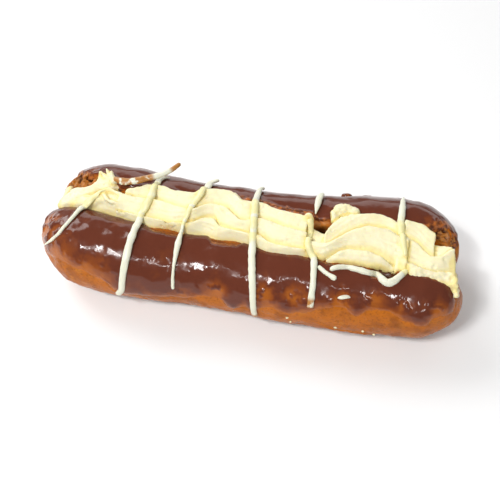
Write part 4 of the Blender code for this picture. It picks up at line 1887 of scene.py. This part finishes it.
FRONT_ICING = Icing(
    name="front_icing",
    node="icing_front",
    half=FRONT,
    first_angle=30.0,
    last_angle=212.0,
    drip=((-84, 16), (-75, 18), (-70, 20.5), (-62, 20), (-52, 18), (-45, 10.8), (-28, 12.0),
          (-20, 12.6), (-12, 16.0), (-7, 16.6), (-1, 11.8), (4, 14.8), (6, 12.2), (12, 16.8),
          (20, 15.6), (28, 17.6), (34, 20.4), (40, 21.4), (45, 19.0), (50, 21.2), (56, 21.8),
          (64, 18.8), (70, 16.8), (74, 19.8), (82, 18.2)),
    inner=((-84, -0.5), (-62, -1.2), (-46, -4.6), (-40, -6.6), (-36, -9.6), (-27, -9.8),
           (-23, -7.4), (-15, -6.8), (-12, -10.8), (-3, -10.4), (0, -8.0), (12, -10.6), (28, -11.4),
           (33, -13.0), (40, -13.2), (45, -12.8), (47, -13.6), (49.5, -16.2), (56, -16.0),
           (60, -12.0), (80, -12.0)),
    inner_side=1,
    right_edge=((16, 80.6), (20, 80.6), (24, 80.0), (27, 78.4), (30, 77.4)),
    lips=((-90, 0.2), (26, 0.2), (32, 0.7), (45, 0.7), (50, 0.3), (90, 0.2)),
    torn=((-40, 0.0), (-36, 0.7), (-27, 0.7), (-23, 0.0), (-14, 0.0), (-10, 0.7), (-3, 0.7),
          (0, 0.0), (27, 0.0), (31, 1.5), (44, 1.5), (49, 0.6), (56, 0.6), (60, 0.0)),
    drip_fade=((-84, 8.0), (-45, 7.0), (-20, 5.5), (24, 6.0), (32, 4.8), (60, 5.0), (84, 4.4)),
    inner_fade=0.6,
    crumples=(
        Spot(-36.0, 128.0, 7.0, 1.0), Spot(-26.0, 126.0, 6.0, 1.0), Spot(-13.0, 126.0, 4.0, 0.8),
        Spot(15.0, 134.0, 7.0, 0.8), Spot(-78.0, 128.0, 6.0, 0.9), Spot(48.0, 138.0, 5.0, 0.8),
        Spot(64.0, 140.0, 9.0, 1.2), Spot(74.0, 135.0, 6.0, 1.2), Spot(-29.0, 147.0, 5.0, 2.0),
        Spot(-19.0, 132.0, 4.5, 1.5), Spot(-60.0, 153.0, 6.5, 1.7), Spot(1.5, 142.0, 4.0, 1.3),
    ),
    thin_spots=(
        Spot(-81.0, 118.0, 13.0, 0.92), Spot(-79.0, 100.0, 9.0, 0.88),
        Spot(-73.5, 110.0, 7.0, 0.66), Spot(-72.0, 146.0, 9.0, 0.66), Spot(-56.0, 147.0, 8.0, 0.58),
        Spot(-48.5, 160.0, 6.0, 0.6), Spot(-8.0, 154.0, 6.0, 0.85), Spot(10.0, 148.0, 7.0, 0.85),
        Spot(22.0, 143.0, 7.0, 0.85), Spot(39.0, 138.0, 5.5, 0.9), Spot(51.0, 134.0, 5.0, 0.9),
        Spot(74.6, 140.0, 6.0, 0.7), Spot(-20.0, 170.0, 6.0, 0.6), Spot(62.0, 138.0, 4.0, 0.7),
    ),
)
BACK_ICING = Icing(
    name="back_icing",
    node="icing_back",
    half=BACK,
    first_angle=-28.0,
    last_angle=140.0,
    drip=((-82, 17.0), (-74, 15.0), (-66, 17.5), (-58, 12.0), (-50, 14.5), (-41, 9.5), (-33, 13.5),
          (-24, 11.0), (-15, 16.0), (-6, 12.0), (3, 10.0), (12, 14.5), (22, 17.0), (30, 12.5),
          (38, 14.0), (47, 10.5), (55, 15.5), (63, 18.0), (70, 14.5), (78, 17.0), (84, 19.0)),
    inner=((-84, 22.0), (-77, 19.5), (-74, 17.0), (-71, 14.6), (-69, 13.4), (-66, 13.2),
           (-63, 12.6), (-60, 11.6), (-57, 10.0), (-54.5, 8.6), (-51, 8.0), (-47, 8.4), (-42, 10.2),
           (-36, 10.4), (-27, 8.4), (-12, 11.8), (-8, 11.0), (3, 10.4), (8, 9.2), (13, 8.4),
           (22, 8.5), (26, 7.6), (36, 9.0), (58, 8.0), (64, 9.2), (70, 10.8), (73, 13.0),
           (76, 14.6), (79, 14.2), (81, 12.0), (83, 10.6)),
    inner_side=-1,
    right_edge=((14, 80.4), (20, 81.0), (26, 80.6), (30, 79.4)),
    lips=((-90, 0.2), (-62, 0.3), (-57, 1.5), (-49, 1.4), (-44, 0.3), (-8, 0.3), (4, 0.9),
          (20, 1.1), (26, 0.3), (90, 0.2)),
    torn=((-76, 1.6), (-70, 1.4), (-66, 0.0), (-12, 0.0), (-8, 3.6), (-2, 3.2), (4, 2.4), (13, 2.8),
          (22, 2.3), (26, 0.9), (32, 0.6), (40, 0.0), (62, 0.0), (68, 2.2), (74, 3.0), (80, 1.2),
          (84, 0.8)),
    calm=0.5,
    thin_spots=(
        Spot(60.0, 40.0, 4.0, 0.7), Spot(70.0, 100.0, 5.0, 0.6), Spot(78.0, 80.0, 5.0, 0.5),
        Spot(-70.0, 80.0, 5.0, 0.5), Spot(-30.0, 5.0, 8.0, 0.8), Spot(20.0, 8.0, 9.0, 0.8),
        Spot(50.0, 5.0, 6.0, 0.7),
    ),
    shift=37.0,
)
STRANDS = (
    Strand(
        "white_strand_left_end", "white_strand_1",
        ((-58.8, 79, 1.6), (-62.0, 84, 2.4), (-64.7, 96, 2.8), (-66.6, 104, 2.4), (-67.4, 117, 1.6),
         (-71, 136, 1.3), (-79.2, 157, 1.1)),
        Tip.POINTED, Tip.POINTED, height=1.4, seed=1.0,
    ),
    Strand(
        "white_strand_two", "white_strand_2",
        ((-37, 40, 2.0), (-40.3, 52, 2.5), (-40.2, 66, 2.7), (-40.2, 81, 3.0), (-41, 91, 3.1),
         (-42.2, 101, 2.7), (-42.3, 123, 2.9), (-42.6, 144, 2.9), (-43.4, 159, 2.7),
         (-44.3, 173, 2.6), (-46.8, 181, 2.2)),
        Tip.POINTED, Tip.ROUND, seed=2.0,
    ),
    Strand(
        "white_strand_three", "white_strand_3",
        ((-17.2, 33, 2.6), (-20.3, 40, 2.9), (-20.6, 68, 2.8), (-22.6, 81, 2.4), (-23.6, 94, 1.9),
         (-24.6, 108, 1.4), (-24.8, 118, 1.4), (-24.6, 128, 2.5), (-24.5, 139, 1.8),
         (-24.4, 149, 1.1), (-24.2, 168, 1.5)),
        Tip.ROUND, Tip.ROUND, rise_first=1.7, height=1.5, seed=3.0,
    ),
    Strand(
        "white_strand_four", "white_strand_4",
        ((1.9, 34, 1.5), (0.6, 41, 2.0), (0.4, 56, 2.6), (1.5, 80, 2.9), (2.4, 99, 2.8),
         (3, 113, 2.8), (3.9, 128, 2.8), (5.3, 143, 2.8), (6.5, 157, 2.6), (7.4, 174, 2.3),
         (7.8, 184, 2.4)),
        Tip.ROUND, Tip.BLUNT, rise_first=0.9, toffee_last=2.6, seed=4.0,
    ),
    Strand(
        "white_strand_five", "white_strand_5", ((26, 39, 2.2), (24.9, 48, 2.7), (24.6, 64, 2.0)),
        Tip.ROUND, Tip.POINTED, rise_first=1.2, height=1.5, seed=5.0,
    ),
    Strand(
        "white_strand_six", "white_strand_6",
        ((22.8, 80, 2.4), (24, 89, 2.2), (23.9, 107, 2.4), (25.2, 117, 2.7), (27, 124, 2.6),
         (27.8, 136, 2.3), (28.3, 148, 2.3), (28.4, 163, 2.5)),
        Tip.ROUND, Tip.BLUNT, toffee_last=4.0, seed=6.0,
    ),
    Strand(
        "white_strand_seven", "white_strand_7",
        ((57.9, 34, 1.0), (57.6, 47, 1.9), (57.5, 60, 2.7), (57.4, 74, 3.0), (58.3, 86, 2.4),
         (58.9, 98, 2.2), (59.8, 107, 1.8), (60.2, 112, 1.2)),
        Tip.POINTED, Tip.ROUND, seed=7.0,
    ),
    Strand(
        "white_strand_loose", "white_strand_8",
        ((61.6, 125, 1.8), (58.8, 132, 2.6), (57, 136, 2.8), (55, 138, 2.9), (53, 136, 2.8),
         (50.9, 133, 2.4), (47.9, 132, 2.3), (43.6, 130, 2.2), (39.3, 129, 2.1), (35.9, 130, 2.0),
         (33.5, 133, 1.8)),
        Tip.ROUND, Tip.ROUND, height=1.8, seed=8.0,
    ),
    Strand(
        "white_strand_raised_piece", "white_strand_raised",
        ((-57.4, 10.4, 34.0, 1.8), (-55.0, 9.2, 34.4, 2.6), (-52.5, 8.8, 34.5, 3.0),
         (-48.4, 9.6, 34.9, 2.9), (-44.5, 11.4, 35.2, 2.7), (-38.6, 14.2, 35.9, 2.4),
         (-35.0, 17.0, 36.6, 2.1), (-32.2, 20.4, 37.4, 1.7)),
        Tip.ROUND, Tip.ROUND, toffee_first=17.0, toffee_last=5.0, height=1.9, seed=9.0,
    ),
    Strand(
        "white_strand_scrap", "", ((28.9, 130.5, 1.5), (31.9, 135, 1.7), (36.4, 139.5, 1.9)),
        Tip.BLUNT, Tip.BLUNT, height=1.3, seed=10.0,
    ),
)


@dataclass(frozen=True)
class Crumbs:
    """Small broken bits of one kind, each at (x, y, z) with its three radii and its turn."""

    name: str
    places: Waypoints
    slot: Slot
    around: int = 18
    rows: int = 9
    rough: Grain = Grain(0.25, 0.8, 3, 1.0)

    def ball(self) -> tuple[Array, list]:
        """A ball of radius 1 that each bit is shaped from.

        Returns:
            Its points and its faces.
        """
        angles = np.linspace(0, 2 * math.pi, self.around, endpoint=False)
        rises = np.linspace(-math.pi / 2, math.pi / 2, self.rows + 2)[1:-1]
        angle, rise = np.meshgrid(angles, rises)
        flat = np.cos(rise)
        points = np.stack([np.cos(angle) * flat, np.sin(angle) * flat, np.sin(rise)], -1)
        points = np.concatenate([points.reshape(-1, 3), [(0, 0, -1), (0, 0, 1)]])
        faces = tube_faces(self.rows, self.around)
        top = self.rows * self.around - self.around
        bottom_pole, top_pole = self.rows * self.around, self.rows * self.around + 1
        for i in range(self.around):
            after = (i + 1) % self.around
            faces += [[bottom_pole, after, i], [top_pole, top + i, top + after]]
        return points, faces

    def build(self, finish: bpy.types.Material) -> bpy.types.Object:
        """Makes all of the bits as one piece.

        Args:
            finish: their material.

        Returns:
            The piece, in the scene.
        """
        ball, ball_faces = self.ball()
        points, faces = [], []
        for i, (x, y, z, rx, ry, rz, turn) in enumerate(self.places):
            shape = ball * (1.0 + self.rough.at(ball, 5.0 * i))[:, None] * (rx, ry, rz)
            c, s = math.cos(math.radians(turn)), math.sin(math.radians(turn))
            across, along, up = shape.T
            shape = np.stack([across * c - along * s, across * s + along * c, up], axis=1)
            faces += [[n + i * len(ball) for n in face] for face in ball_faces]
            points.append(shape + (x, y, z))
        whole = np.concatenate(points)
        values = {"depth": np.full(len(whole), 0.8), "torn": np.full(len(whole), 0.3)}
        return add_piece(self.name, whole, faces, finish, values)


def white_dab() -> Crumbs:
    """The short dab of white icing on the front half, by itself."""
    x, y, z = FRONT.wrap(np.array([40.2]), np.radians([134.0]))[0]
    return Crumbs("white_dab", ((x, y - 0.6, z + 0.6, 2.5, 0.9, 0.6, 20.0),), Slot.WHITE_ICING)


def cream_crumbs() -> Crumbs:
    """The crumbs of cream that cling low on the front half.

    Returns:
        The crumbs.
    """
    degrees = [194.0, 184.0, 196.0, 208.0, 196.0]
    spots = FRONT.wrap(np.array([38.6, 20.2, 49.0, 53.4, 21.6]), np.radians(degrees))
    places = tuple(
        (x, y - 0.2, z + 0.1, 0.62 - 0.06 * i, 0.5, 0.45, 40.0 * i)
        for i, (x, y, z) in enumerate(spots)
    )
    return Crumbs("cream_crumbs", places, Slot.CREAM)


def chocolate_lumps() -> Crumbs:
    """The two lumps of chocolate on the far side of the back half.

    Returns:
        The lumps.
    """
    (ax, ay, az), (bx, by, bz) = BACK.wrap(np.array([35.5, 44.5]), np.radians([36.0, 33.0]))
    long_lump = (ax, ay + 0.6, az + 0.6, 2.4, 1.3, 1.4, 10.0)
    flat_lump = (bx, by + 0.4, bz + 0.3, 3.0, 1.2, 0.9, 0.0)
    return Crumbs("chocolate_lumps", (long_lump, flat_lump), Slot.CHOCOLATE)


@dataclass(frozen=True)
class Lamp:
    """A rectangular lamp: its place, width and height in metres, and its power in watts."""

    name: str
    place: Triple
    size: tuple[float, float]
    watts: float

    def build(self) -> None:
        """Hangs the lamp, facing the eclair."""
        data = bpy.data.lights.new(self.name, "AREA")
        data.shape = "RECTANGLE"
        data.size, data.size_y = self.size
        data.energy = self.watts
        made = add_object(self.name, data)
        made.location = self.place
        made.rotation_euler = Vector(self.place).to_track_quat("Z", "Y").to_euler()


@dataclass(frozen=True)
class Studio:
    """A plain pale floor, soft light, and the camera with its distances in millimetres."""

    azimuth: float = 11.0
    elevation: float = 50.0
    distance: float = 300.0
    target: Triple = (0.4, -0.65, 15.0)
    lens: float = 53.57
    sensor: float = 36.0
    floor_half: float = 2.0  # half the floor's width, in metres
    floor_colour: Triple = (0.93, 0.93, 0.93)
    floor_roughness: float = 0.7
    sky: float = 0.21
    lamps: tuple[Lamp, ...] = (
        Lamp("left_window", (-0.37, -0.40, 0.74), (0.115, 0.046), 2.0),
        Lamp("left_window_sill", (-0.37, -0.49, 0.68), (0.115, 0.018), 0.75),
        Lamp("left_door", (-0.315, -0.44, 0.72), (0.022, 0.13), 0.65),
        Lamp("second_door", (-0.25, -0.47, 0.71), (0.048, 0.13), 1.4),
        Lamp("small_window", (-0.17, -0.42, 0.78), (0.012, 0.03), 0.09),
        Lamp("middle_window", (-0.05, -0.50, 0.74), (0.032, 0.11), 0.60),
        Lamp("right_window", (0.28, -0.60, 0.64), (0.08, 0.12), 1.4),
        Lamp("back_window", (0.0, 1.0, 0.40), (1.4, 0.4), 2.8),
        Lamp("side_window", (-1.05, 0.75, 0.95), (0.9, 0.9), 14.5),
    )

    def floor(self) -> None:
        """Lays the floor."""
        half = self.floor_half
        corners = [(-half, -half, 0), (half, -half, 0), (half, half, 0), (-half, half, 0)]
        mesh = bpy.data.meshes.new("floor")
        mesh.from_pydata(corners, [], [(0, 1, 2, 3)])
        paint = Paint("floor_finish")
        mesh.materials.append(paint.finish(self.floor_colour, self.floor_roughness))
        add_object("floor", mesh)

    def surroundings(self) -> None:
        """Lights everything evenly from all round."""
        world = bpy.data.worlds.new("studio")
        world.use_nodes = True
        background = world.node_tree.nodes["Background"]
        background.inputs["Color"].default_value = (1.0, 1.0, 1.0, 1.0)
        background.inputs["Strength"].default_value = self.sky
        bpy.context.scene.world = world
        bpy.context.scene.view_settings.view_transform = "Standard"

    def camera(self) -> None:
        """Sets up the camera."""
        data = bpy.data.cameras.new("camera")
        data.lens = self.lens
        data.sensor_width = self.sensor
        data.clip_start = 0.01
        camera = add_object("camera", data)
        a, e = math.radians(self.azimuth), math.radians(self.elevation)
        away = Vector((math.sin(a) * math.cos(e), -math.cos(a) * math.cos(e), math.sin(e)))
        camera.location = Vector(self.target) * MM + away * self.distance * MM
        camera.rotation_euler = away.to_track_quat("Z", "Y").to_euler()
        bpy.context.scene.camera = camera

    def build(self) -> None:
        """Sets up the floor, the lamps, the light all round and the camera."""
        self.floor()
        for lamp in self.lamps:
            lamp.build()
        self.surroundings()
        self.camera()


def tree_of(piece: bpy.types.Object) -> BVHTree:
    """A search tree of a piece's faces."""
    points = [vertex.co.copy() for vertex in piece.data.vertices]
    return BVHTree.FromPolygons(points, [tuple(face.vertices) for face in piece.data.polygons])


def stain_cream(cream: bpy.types.Object, paths: list[Array]) -> None:
    """Marks the cream beside the strands that lie on it.

    Args:
        cream: the cream.
        paths: the strands' middle lines.
    """
    points = np.empty(len(cream.data.vertices) * 3)
    cream.data.vertices.foreach_get("co", points)
    points = points.reshape(-1, 3) / MM
    nearest = np.full(len(points), 99.0)
    for path in paths:
        for spot in path[::3]:
            nearest = np.minimum(nearest, np.linalg.norm(points - spot, axis=1))
    blotch = ramp(Grain(1.0, 4.0, 2, 210.0).at(points), -0.5, 0.4)
    store_value(cream.data, "stain", hump(nearest, 2.6) * (0.35 + 0.65 * blotch))


def main() -> None:
    """Builds the eclair piece by piece, then the studio."""
    finger = settle(ChouxPiece().build(), Slot.CHOUX, "choux")
    for name, plug in zip(("torn_crumb_left", "torn_crumb_right"), CHOUX.plugs):
        settle(TornCrumb(name, plug).build(), Slot.CHOUX, "choux")
    front = settle(FRONT_ICING.build(), Slot.CHOCOLATE, FRONT_ICING.node)
    back = settle(BACK_ICING.build(), Slot.CHOCOLATE, BACK_ICING.node)
    cream = settle(CreamPiece().build(), Slot.CREAM, "cream")
    trees = [tree_of(piece) for piece in (finger, front, back, cream)]
    paths = []
    for strand in STRANDS:
        piece, path = strand.build(trees)
        settle(piece, Slot.WHITE_ICING, *((strand.node,) if strand.node else ()))
        if not strand.free:
            paths.append(path)
    stain_cream(cream, paths)
    bits = (white_dab(), WHITE_PAINT), (cream_crumbs(), CREAM_PAINT), (chocolate_lumps(), CHOCOLATE)
    for crumbs, finish in bits:
        settle(crumbs.build(finish), crumbs.slot)
    Studio().build()


if __name__ == "__main__":
    logging.basicConfig(level=logging.INFO)
    main()
